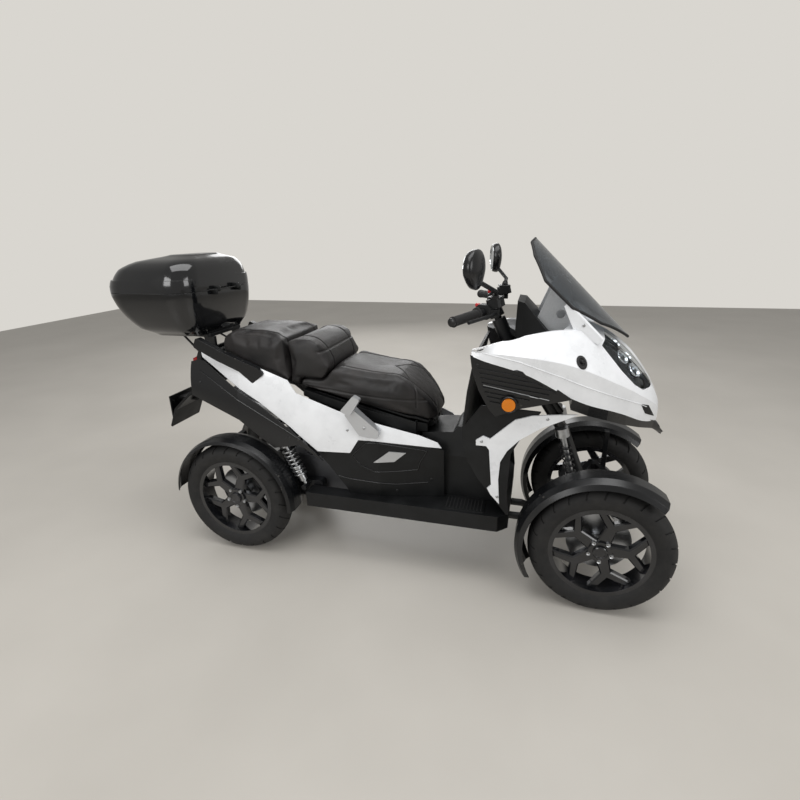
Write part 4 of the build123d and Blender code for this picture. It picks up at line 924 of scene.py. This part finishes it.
# %% joint strip, lock and latch
STRIP_POINTS, STRIP_GAUGE = 72, 0.005
LOCK_DROP, LATCH_DROP, LATCH_SIZE, LATCH_BEVEL = 0.055, 0.022, (0.012, 0.11, 0.042), 0.004
LATCH_RIM, LATCH_DISH = 0.006, 0.0025
seam_z = box_high.z - 0.0055
box_centre_x = box_back + BOX_LONG / 2
ring = []
for i in range(STRIP_POINTS):
    around = 2 * math.pi * i / STRIP_POINTS
    look = Vector((math.cos(around), math.sin(around), 0.0))
    spot = on_panel("box_base", Vector((box_centre_x, 0.0, seam_z - 0.004)) + look * 0.6, -look)
    ring.append(Vector((spot[0].x, spot[0].y, seam_z - 0.0005)))
settle(bead(ring, STRIP_GAUGE, closed=True), "box_joint_strip", "chassis", grip_rubber)

LOCK = [(0.0, 0.004), (0.0045, 0.004), (0.0055, 0.0052), (0.0105, 0.0052), (0.0125, 0.003), (0.0125, -0.003),
        (0.0, -0.003)]
rear_face = on_panel("box_base", (-2.0, 0.0, seam_z - LOCK_DROP), (1, 0, 0))
lathe(LOCK, 28, *rear_face, "box_lock", "chassis", zinc, "silver_steel", angle=28)

latch_seat = on_panel("box_base", (-2.0, 0.0, seam_z - LATCH_DROP), (1, 0, 0))[0]
latch = rounded_block(LATCH_SIZE, latch_seat + Vector((-0.002, 0, 0)), LATCH_BEVEL)
edit(latch)
pick(latch, "FACE", lambda middle, normal: normal.x < -0.95)
bpy.ops.mesh.inset(thickness=LATCH_RIM)
bpy.ops.transform.translate(value=(LATCH_DISH, 0.0, 0.0))
settle(latch, "box_latch", "chassis", black_pp, angle=30)
print("box trim: strip points", len(ring))

# %% [markdown]
# ## Mirrors
# Each mirror is a rounded teardrop shell with a flat glass in a rim, on a bent rod with a rubber boot at
# its foot. The shell is a sphere pulled to the outline of the solid, with its back half flattened for the
# glass.

# %% mirror shells, glass and stalks
TEARDROP = [(68, 12), (50, 47), (6, 62), (-44, 50), (-62, 13), (-48, -32), (-10, -66), (34, -46)]
MIRROR_AT = Vector((front_x - 0.486, 0.362, 1.298))
MIRROR_DEPTH, MIRROR_TURN = 0.021, math.radians(14)
GLASS_RIM, GLASS_SUNK, GLASS_THICK, STALK_GAUGE = 0.004, 0.003, 0.0015, 0.016


def teardrop(around):
    """Radius of the mirror's outline at an angle in its face, eased between its corner points."""
    total, weight = 0.0, 0.0
    for y, z in TEARDROP:
        apart = math.cos(around - math.atan2(z, y))
        share = math.exp(9.0 * apart)
        total += share * math.hypot(y, z) / 1000
        weight += share
    return total / weight


fresh()
bpy.ops.mesh.primitive_uv_sphere_add(segments=48, ring_count=24, radius=1.0, rotation=(0, math.pi / 2, 0))
shell = bpy.context.object
bpy.ops.object.transform_apply(location=False, rotation=True, scale=False)
edit(shell)
mesh = bmesh.from_edit_mesh(shell.data)
for point in mesh.verts:
    around, out = math.atan2(point.co.z, point.co.y), math.hypot(point.co.y, point.co.z)
    reach = teardrop(around) * out ** (0.8 if point.co.x < 0 else 1.0)
    depth = point.co.x * MIRROR_DEPTH if point.co.x > 0 else -MIRROR_DEPTH * min(1.0, abs(point.co.x) * 2.2)
    point.co = Vector((depth, math.cos(around) * reach, math.sin(around) * reach))
bmesh.update_edit_mesh(shell.data)
pick(shell, "FACE", lambda middle, normal: middle.x < -MIRROR_DEPTH * 0.99)
bpy.ops.mesh.inset(thickness=GLASS_RIM)
bpy.ops.transform.translate(value=(GLASS_SUNK, 0.0, 0.0))
bpy.ops.mesh.duplicate()
bpy.ops.mesh.separate(type="SELECTED")
fresh()
glass = next(o for o in bpy.context.view_layer.objects if o.name.startswith(shell.name + "."))
edit(glass)
bpy.ops.mesh.extrude_region_move(TRANSFORM_OT_translate={"value": (-GLASS_THICK, 0.0, 0.0)})
for piece, name, finish, slot in ((shell, "mirror_shell", black_satin, "black_plastic"),
                                  (glass, "mirror_glass", mirror_glass, "silver_steel")):
    fresh(piece)
    piece.matrix_world = Matrix.Translation(MIRROR_AT) @ Matrix.Rotation(MIRROR_TURN, 4, "Z")
    settle(piece, name + "_left", "handlebars", finish, angle=40)
    other_side(piece, name + "_right", "handlebars")

# The rods leave the switch clamps; their points repeat the solid's.
BAR_BENDS = [Vector((front_x - 0.452, 0.0, 1.112)) + Vector(step) / 1000
             for step in ((6, 110, 18), (-22, 235, 31), (-104, 385, 19))]
SWITCH_AT = BAR_BENDS[0] * 0.12 + BAR_BENDS[1] * 0.88
stalk_route = [SWITCH_AT + Vector((0.036, -0.004, 0.047)), SWITCH_AT + Vector((0.040, 0.026, 0.074)),
               MIRROR_AT + Vector((0.0, -0.016, -0.036))]
BOOT = [(0.0075, 0.0), (0.0125, 0.0), (0.0125, 0.008), (0.0105, 0.0105), (0.0118, 0.013), (0.0098, 0.0158),
        (0.0108, 0.0185), (0.0076, 0.024), (0.0075, 0.0)]
boot = lathe(BOOT, 24, stalk_route[0], stalk_route[1] - stalk_route[0], "mirror_boot_left", "handlebars",
             grip_rubber, "grip_rubber")
stalk = settle(bead(stalk_route, STALK_GAUGE), "mirror_stalk_left", "handlebars", powder_coat)
other_side(boot, "mirror_boot_right", "handlebars")
other_side(stalk, "mirror_stalk_right", "handlebars")
for name in ("mirror_shell_left", "mirror_shell_right", "mirror_stalk_left", "mirror_stalk_right"):
    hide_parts("mirrors")
print("mirror shell faces:", len(shell.data.polygons), "glass faces:", len(glass.data.polygons))

# %% [markdown]
# ## Handlebar
# The grips are ribbed rubber sleeves with a flange at the inner end, and a steel weight closes each bar
# end. The switch blocks carry small rockers and a red stop switch, and a dished lid closes each brake fluid
# reservoir. Grips and weights are turned along the line of the bar's outer run.

# %% ribbed grips and bar ends
GRIP_RADIUS, GRIP_BORE, RIB_RISE, RIBS = 0.017, 0.0112, 0.0012, 22
GRIP_FROM = 0.2         # share of the bar's outer run that the switches take up
grip_line = BAR_BENDS[2] - BAR_BENDS[1]
grip_long = grip_line.length * (1.0 - GRIP_FROM)
pitch = (grip_long - 0.018) / RIBS
profile = [(GRIP_BORE, 0.0), (0.0225, 0.0), (0.0225, 0.004), (GRIP_RADIUS - 0.001, 0.006)]
for i in range(RIBS):
    start = 0.008 + pitch * i
    profile += [(GRIP_RADIUS - drop, start + pitch * share)
                for drop, share in ((RIB_RISE, 0.0), (0.0, 0.2), (0.0, 0.7), (RIB_RISE, 0.9))]
profile += [(GRIP_RADIUS - 0.001, grip_long - 0.008), (0.0185, grip_long - 0.006),
            (0.0185, grip_long - 0.001), (0.0165, grip_long), (GRIP_BORE, grip_long), (GRIP_BORE, 0.0)]
grip = lathe(profile, 32, BAR_BENDS[1] + grip_line * GRIP_FROM, grip_line, "ribbed_grip_left", "handlebars",
             grip_rubber, "grip_rubber", angle=30)
END_WEIGHT = [(0.0, 0.013), (0.009, 0.0128), (0.0115, 0.0112), (0.0145, 0.0095), (0.0155, 0.003),
              (0.0155, 0.0), (0.0, 0.0)]
weight = lathe(END_WEIGHT, 28, BAR_BENDS[2] - grip_line.normalized() * 0.0005, grip_line, "bar_end_left",
               "handlebars", powder_coat, "black_steel")
right_grip = other_side(grip, "ribbed_grip_right", "handlebars")
other_side(weight, "bar_end_right", "handlebars")
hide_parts("grips")
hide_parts("grips")
print("grip length", round(grip_long * 1000), "mm with", RIBS, "ribs")

# %% switches and reservoir lids
KEYS = [((-0.030, -0.004, 0.006), (0.009, 0.020, 0.011)), ((-0.031, -0.016, -0.010), (0.010, 0.012, 0.010))]
LID_SIZE, LID_LIFT = (0.046, 0.056, 0.007), 0.0015
SMALL_BEVEL, KEY_TURN = 0.002, math.radians(12)
RED_AT, LID_OVER = (-0.026, -0.012, 0.022), (0.036, -0.022, 0.3)    # from the clamp's middle
for side, word in SIDES:
    base = flipped(SWITCH_AT, side)
    turn = KEY_TURN * side
    keys = [rounded_block(size, base + flipped(at, side), SMALL_BEVEL, turn) for at, size in KEYS]
    settle(joined(keys), f"switch_keys_{word}", "handlebars", black_satin)
    stop = rounded_block((0.016, 0.012, 0.012), base + flipped(RED_AT, side), SMALL_BEVEL, turn)
    settle(stop, f"stop_switch_{word}", "handlebars", switch_red)
    top = on_panel("controls", base + flipped(LID_OVER, side), (0, 0, -1))
    lid = rounded_block(LID_SIZE, top[0] + Vector((0, 0, LID_LIFT)), SMALL_BEVEL, turn, dish=0.001)
    settle(lid, f"reservoir_lid_{word}", "handlebars", black_satin)
print("switches on both clamps")

# %% [markdown]
# ## Headlamps
# Behind each clear cover is a dark tub with two round projector lamps in plated rings. The tub is a copy of
# the cover, moved in along its own mean normal. The rings are turned, and set on the line through the
# cover's length.

# %% lamp tubs and projectors
lens_node = frame["nodes"]["headlight_lenses"]
outward = Vector()
for face in lens_node.data.polygons:
    if face.center.y > 0 and face.normal.x + face.normal.z > 0.3 and face.normal.y > -0.2:
        outward += face.normal * face.area
outward.normalize()
left_points = [v.co for v in lens_node.data.vertices if v.co.y > 0]
lens_middle = sum(left_points, Vector()) / len(left_points)
spread = Matrix(((0,) * 3,) * 3)
for point in left_points:
    d = point - lens_middle
    for i in range(3):
        for j in range(3):
            spread[i][j] += d[i] * d[j]
long_way = Vector((0.7, -0.2, -0.5))
for i in range(30):
    long_way = (spread @ long_way).normalized()
print("cover looks along", [round(c, 2) for c in outward], "and runs along", [round(c, 2) for c in long_way])

RING = [(0.012, -0.010), (0.022, -0.002), (0.026, 0.004), (0.0275, 0.004), (0.029, 0.0), (0.029, -0.014),
        (0.012, -0.014), (0.012, -0.010)]
BULB = [(0.0, 0.006), (0.006, 0.0052), (0.0115, 0.003), (0.0165, -0.001), (0.0175, -0.006), (0.0, -0.006)]
PROJECTORS = (-0.038, 0.030)        # along the cover, from its middle
SUNK, TUB_SHARE = 0.020, 0.94       # depth behind the cover, and the tub's size beside it
tub = placed("tub", lens_node.data.copy())
edit(tub)
bpy.ops.mesh.remove_doubles(threshold=0.00003)
mesh = bmesh.from_edit_mesh(tub.data)
for point in mesh.verts:
    side = 1.0 if point.co.y > 0 else -1.0
    middle = flipped(lens_middle, side)
    point.co = middle + (point.co - middle) * TUB_SHARE - flipped(outward, side) * SUNK
bmesh.update_edit_mesh(tub.data)
settle(tub, "headlamp_tubs", "chassis", black_satin)
for side, word in SIDES:
    look, run, middle = (flipped(v, side) for v in (outward, long_way, lens_middle))
    spots = []
    for shift in PROJECTORS:
        over = on_panel("headlight_lenses", middle + run * shift + look * 0.2, -look)
        if over:
            spots.append(facing(over[0] - look * SUNK, look))
    settle(scatter(turned(RING, 32), spots), f"headlamp_rings_{word}", "chassis", chrome)
    settle(scatter(turned(BULB, 32), spots), f"headlamp_bulbs_{word}", "chassis", clear_pc)
print("projectors a side:", len(spots))

# %% [markdown]
# ## Indicator bezels
# The round amber lamps sit in black rims on the ribbed panels.

# %% indicator bezels
BEZEL = [(0.0245, -0.004), (0.0245, 0.003), (0.026, 0.0045), (0.0285, 0.0042), (0.031, 0.001),
         (0.031, -0.004), (0.0245, -0.004)]
BEZEL_BACK = 0.009      # how far the rim's seat lies behind the lamp's face
low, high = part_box("front_indicators")
lamp_at = Vector(((low.x + high.x) / 2, 0.0, (low.z + high.z) / 2))
for side, word in SIDES:
    seat = (lamp_at.x, side * (high.y - BEZEL_BACK), lamp_at.z)
    lathe(BEZEL, 40, seat, (0, side, 0), f"indicator_rim_{word}", "chassis", black_satin, "black_plastic")
print("indicator at", [round(c, 3) for c in lamp_at], "reach", round(high.y, 3))

# %% [markdown]
# ## Springs
# Each rear damper has an open coil over its body, and so have the front struts. A small circle stands
# beside the axis, and a Screw modifier winds it up; the coil is then turned to the line of the damper.

# %% coil springs


def coil(start, end, radius, wire, turns):
    """A wound spring from start to end."""
    start, end = Vector(start), Vector(end)
    fresh()
    bpy.ops.mesh.primitive_circle_add(vertices=10, radius=wire / 2, location=(radius, 0.0, 0.0),
                                      rotation=(math.pi / 2, 0.0, 0.0))
    piece = bpy.context.object
    bpy.ops.object.transform_apply(location=True, rotation=True, scale=True)
    press(piece, "SCREW", axis="Z", angle=2 * math.pi, screw_offset=(end - start).length / turns,
          iterations=turns, steps=20, render_steps=20, use_merge_vertices=True)
    edit(piece)
    bpy.ops.mesh.select_mode(type="EDGE")
    bpy.ops.mesh.select_all(action="DESELECT")
    bpy.ops.mesh.select_non_manifold()
    bpy.ops.mesh.edge_face_add()
    fresh(piece)
    piece.matrix_world = facing(start, end - start)
    return piece


def part_way(start, end, share):
    """A point on the line between two points."""
    return Vector(start) + (Vector(end) - Vector(start)) * share


SHOCK = ((rear_x + 0.328, 0.212, 0.347), (rear_x + 0.238, 0.212, 0.545))
STRUT = ((front_x - 0.034, 0.112, 0.183), (front_x - 0.168, 0.118, 0.680))
for name, (foot, top), low, high, radius, wire, turns, finish in (
        ("rear_spring", SHOCK, 0.2, 0.82, 0.0262, 0.0075, 7, zinc),
        ("front_spring", STRUT, 0.42, 0.86, 0.0195, 0.0065, 9, powder_coat)):
    piece = coil(part_way(foot, top, low), part_way(foot, top, high), radius, wire, turns)
    settle(piece, name + "_left", "chassis", finish, angle=60)
    other_side(piece, name + "_right", "chassis")
    print(name, "turns:", turns)

# %% [markdown]
# ## Screws, lines and trim
# A button screw with a round socket is turned once for each panel, and copies are set where rays meet the
# panels. Joints and raised lines are round beads laid on the panel along a route seen from the side, the
# same on both sides.

# %% button screws on the panels
SCREW = [(0.0, 0.0016), (0.0021, 0.0016), (0.0023, 0.0029), (0.0036, 0.0027), (0.0052, 0.0018),
         (0.006, 0.0004), (0.006, -0.001), (0.0, -0.001)]
SCREWED = [  # panel, finish, places seen from the side
    ("leg_trims", zinc, from_front((-462, 646), (-393, 412), (-225, 758), (-452, 560))),
    ("side_grilles", powder_coat, from_front((-480, 962), (-215, 798))),
    ("flanks", zinc, from_rear((560, 640), (-40, 905))),
    ("rear_guards", powder_coat, from_rear((-150, 800), (300, 590))),
    ("lower_panels", powder_coat, from_rear((440, 372), (760, 362), (905, 420))),
    ("screen_pillars", zinc, from_front((-130, 1096),)),
    ("foot_pegs", zinc, from_rear((640, 660),)),
]
for node, finish, places in SCREWED:
    spots = []
    for side, word in SIDES:
        for x, z in places:
            spot = on_panel(node, (x, side, z), (0, -side, 0))
            if spot and spot[0].y * side > 0:
                spots.append(facing(spot[0], spot[1]))
    screws = scatter(turned(SCREW, 18), spots)
    settle(screws, f"{node}_screws", "chassis", finish, angle=28)
    print(node, "screws:", len(spots))

# %% raised lines and joints
LINES = [  # name, panel, gauge, finish, slot, closed, route seen from the side
    ("plate_recess_edge", "lower_panels", 0.007, black_satin, "black_plastic", True,
     from_rear((574, 526), (640, 588), (679, 592), (788, 574), (890, 556), (859, 500), (850, 466),
               (760, 456), (670, 452), (600, 482))),
    ("panel_ridge", "lower_panels", 0.006, black_satin, "black_plastic", False,
     from_rear((420, 430), (560, 405), (760, 392), (900, 404))),
    ("guard_ridge", "rear_guards", 0.007, black_satin, "black_plastic", False,
     from_rear((-150, 850), (60, 742), (250, 640), (400, 556))),
    ("fairing_crease", "front_fairing", 0.004, white_abs, "white_gloss", False,
     from_front((-470, 1008), (-335, 980), (-188, 931), (-60, 876), (93, 807), (128, 786))),
    ("grille_line", "side_grilles", 0.003, pale_nylon, "black_plastic", False,
     from_front((-459, 888), (-340, 866), (-219, 843))),
]
for name, node, gauge, finish, slot, closed, route in LINES:
    for side, word in SIDES:
        points = along_panel(node, route, side)
        settle(bead(points, gauge, closed), f"{name}_{word}", "chassis", finish, angle=60)
    print(name, "points:", len(points))

# %% fairing grommet and nose vent
# The vent is a thin grille plate that lies on the curved nose, so a grid of rays lays its points there.
GROMMET = [(0.0, 0.001), (0.009, 0.001), (0.0115, 0.0045), (0.015, 0.005), (0.0185, 0.003), (0.0195, -0.002),
           (0.0, -0.002)]
PEG = [(0.0, 0.012), (0.004, 0.0118), (0.006, 0.0095), (0.0065, 0.005), (0.006, 0.0), (0.0, 0.0)]
OVAL, VENT_LIFT, VENT_WALL, VENT_ROWS, VENT_COLUMNS = 1.35, 0.0006, 0.0016, 8, 6
VENT = from_front((97, 806), (128, 795), (160, 742), (120, 764))
grommet_at = from_front((-131, 982))[0]
for side, word in SIDES:
    spot = on_panel("front_fairing", (grommet_at[0], side, grommet_at[1]), (0, -side, 0))
    ring = turned(GROMMET, 32)
    ring.matrix_world = facing(*spot) @ Matrix.Diagonal((1.0, OVAL, 1.0, 1.0))
    settle(ring, f"fairing_grommet_{word}", "chassis", grip_rubber)
    lathe(PEG, 20, *spot, f"fairing_stud_{word}", "chassis", powder_coat, "black_steel")
    (ax, az), (bx, bz), (cx, cz), (dx, dz) = VENT
    mesh = bmesh.new()
    rows = []
    for i in range(VENT_ROWS + 1):
        u, row = i / VENT_ROWS, []
        for j in range(VENT_COLUMNS + 1):
            v = j / VENT_COLUMNS
            x = (ax + (dx - ax) * u) * (1 - v) + (bx + (cx - bx) * u) * v
            z = (az + (dz - az) * u) * (1 - v) + (bz + (cz - bz) * u) * v
            found = on_panel("front_fairing", (x, side, z), (0, -side, 0))
            row.append(mesh.verts.new(found[0] + found[1] * VENT_LIFT) if found else None)
        rows.append(row)
    for first, second in zip(rows, rows[1:]):
        for j in range(VENT_COLUMNS):
            four = (first[j], second[j], second[j + 1], first[j + 1])
            if all(four):
                mesh.faces.new(four)
    vent = drawn(mesh)
    press(vent, "SOLIDIFY", thickness=VENT_WALL, offset=0.0)
    settle(vent, f"nose_vent_{word}", "chassis", black_pp)
print("grommets and vents on both sides, vent faces:", len(vent.data.polygons))

# %% foot mats
MAT_RIBS, RIB_GAUGE, RIB_INNER, RIB_OUTER, MAT_EDGE = 11, 0.006, 0.158, 0.238, 0.012
pad_low, pad_high, pad_top = rear_x + 0.968, rear_x + 1.136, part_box("floorboard")[1].z
for side, word in SIDES:
    ribs = []
    for i in range(MAT_RIBS):
        x = pad_low + MAT_EDGE + (pad_high - pad_low - 2 * MAT_EDGE) * i / (MAT_RIBS - 1)
        ribs.append(bead([(x, side * RIB_INNER, pad_top), (x, side * RIB_OUTER, pad_top)], RIB_GAUGE))
    settle(joined(ribs), f"foot_mat_ribs_{word}", "chassis", grip_rubber, angle=60)
print("mat ribs a side:", MAT_RIBS)

# %% [markdown]
# ## Screen edging
# The screen's cut edge is dressed with a black rubber edging. The edge is taken from a copy of the screen:
# everything but its sharp edges is deleted, and what is left becomes a round strip that follows the real
# outline.

# %% edging round the screen
EDGING_GAUGE = 0.010
edging = twin(frame["nodes"]["windscreen"])
edit(edging)
bpy.ops.mesh.remove_doubles(threshold=DOUBLES)
bpy.ops.mesh.select_mode(type="EDGE")
bpy.ops.mesh.select_all(action="DESELECT")
bpy.ops.mesh.edges_select_sharp(sharpness=math.radians(50))
bpy.ops.mesh.select_all(action="INVERT")
bpy.ops.mesh.delete(type="EDGE_FACE")
fresh(edging)
bpy.ops.object.convert(target="CURVE")
edging = bpy.context.object
edging.data.splines.remove(edging.data.splines[1])  # one of the sheet's two edges carries the strip
edging.data.bevel_depth = EDGING_GAUGE / 2
edging.data.bevel_resolution = 2
bpy.ops.object.convert(target="MESH")
settle(bpy.context.object, "screen_edging", "chassis", grip_rubber, angle=60)
print("screen edging faces:", len(bpy.context.object.data.polygons))

# %% [markdown]
# ## Camera, floor and light
# The camera stands where the photograph was taken: at head height, off the right front corner, with a short
# lens. Its place and lens come from lining up the wheel centres and the wheelbase. Other views carry the
# camera round the scooter, so there is only a floor and an even pale world, and no wall that could come
# between.

# %% camera
CAMERA_AT, CAMERA_TURN = (0.64725, -1.957, 1.417), (16.29, -19.28, -1.38)
SENSOR_MM, LENS_MM = 36.0, 21.6
yaw, pitch, roll = (math.radians(angle) for angle in CAMERA_TURN)
ahead = Vector((-math.sin(yaw) * math.cos(pitch), math.cos(yaw) * math.cos(pitch), math.sin(pitch)))
level = Vector((math.cos(yaw), math.sin(yaw), 0.0))
above = level.cross(ahead)
across = level * math.cos(roll) + above * math.sin(roll)
upward = above * math.cos(roll) - level * math.sin(roll)
bpy.ops.object.camera_add()
camera = bpy.context.object
camera.name = "photo_camera"
turned_to = Matrix((across, upward, -ahead)).transposed().to_4x4()
camera.matrix_world = Matrix.Translation(CAMERA_AT) @ turned_to
camera.data.sensor_width, camera.data.lens = SENSOR_MM, LENS_MM
bpy.context.scene.camera = camera
print("camera at", [round(v, 3) for v in camera.matrix_world.translation])

# %% floor
FLOOR_SIZE, FLOOR_GAP = 16.0, 0.0005
bpy.ops.mesh.primitive_plane_add(size=FLOOR_SIZE, location=(0.0, 0.0, -FLOOR_GAP))
floor = bpy.context.object
floor.name = "floor"
floor_paint, tree, face, place = start_finish("pale_floor_screed", "#BDB9B2", 0.4)   # sealed cement screed
stains = add(tree, "TexNoise", {"Vector": place, "Scale": per_mm(700), "Detail": 5.0})
add(tree, "ValToRGB", {"Fac": stains.outputs["Fac"]}, into=face["Base Color"],
    stops=((0.0, "#B3AFA8"), (1.0, "#C6C2BB")))
floor.data.materials.append(floor_paint)

# %% world and lamps
world = bpy.data.worlds.new("pale_room")
bpy.context.scene.world = world
world.use_nodes = True
tree = world.node_tree
sky = tree.nodes["Background"]
sky.inputs["Color"].default_value = colour("#E8E6E2")
sky.inputs["Strength"].default_value = 0.5
seen = add(tree, "Background", {"Color": colour("#D9D6D0"), "Strength": 1.0})
path = add(tree, "LightPath")
direct = add(tree, "Math", {0: path.outputs["Is Camera Ray"], 1: path.outputs["Is Transmission Ray"]},
             operation="MAXIMUM")
both = add(tree, "MixShader", {"Fac": direct.outputs["Value"], 1: sky.outputs["Background"],
                               2: seen.outputs["Background"]})
tree.links.new(both.outputs["Shader"], tree.nodes["World Output"].inputs["Surface"])

LAMPS = [  # name, place, aimed at, width, depth, watts
    ("ceiling_panel", (0.4, -0.6, 4.2), (0.0, 0.0, 0.5), 4.5, 2.6, 118.0),
    ("window_right", (-1.9, -4.6, 2.7), (0.0, 0.0, 0.7), 2.4, 1.9, 78.0),
    ("window_front", (4.8, -2.2, 2.4), (0.0, 0.0, 0.7), 2.2, 2.0, 56.0),
    ("back_wall", (-1.5, 4.6, 2.6), (0.0, 0.0, 0.6), 3.6, 2.2, 70.0),
]
for name, at, target, wide, deep, watts in LAMPS:
    bpy.ops.object.light_add(type="AREA", location=at)
    lamp = bpy.context.object
    lamp.name = name
    lamp.data.shape = "RECTANGLE"
    lamp.data.size, lamp.data.size_y, lamp.data.energy = wide, deep, watts
    lamp.rotation_euler = (Vector(target) - Vector(at)).to_track_quat("-Z", "Y").to_euler()
bpy.context.scene.view_settings.view_transform = "Standard"
print("lamps:", ", ".join(row[0] for row in LAMPS))
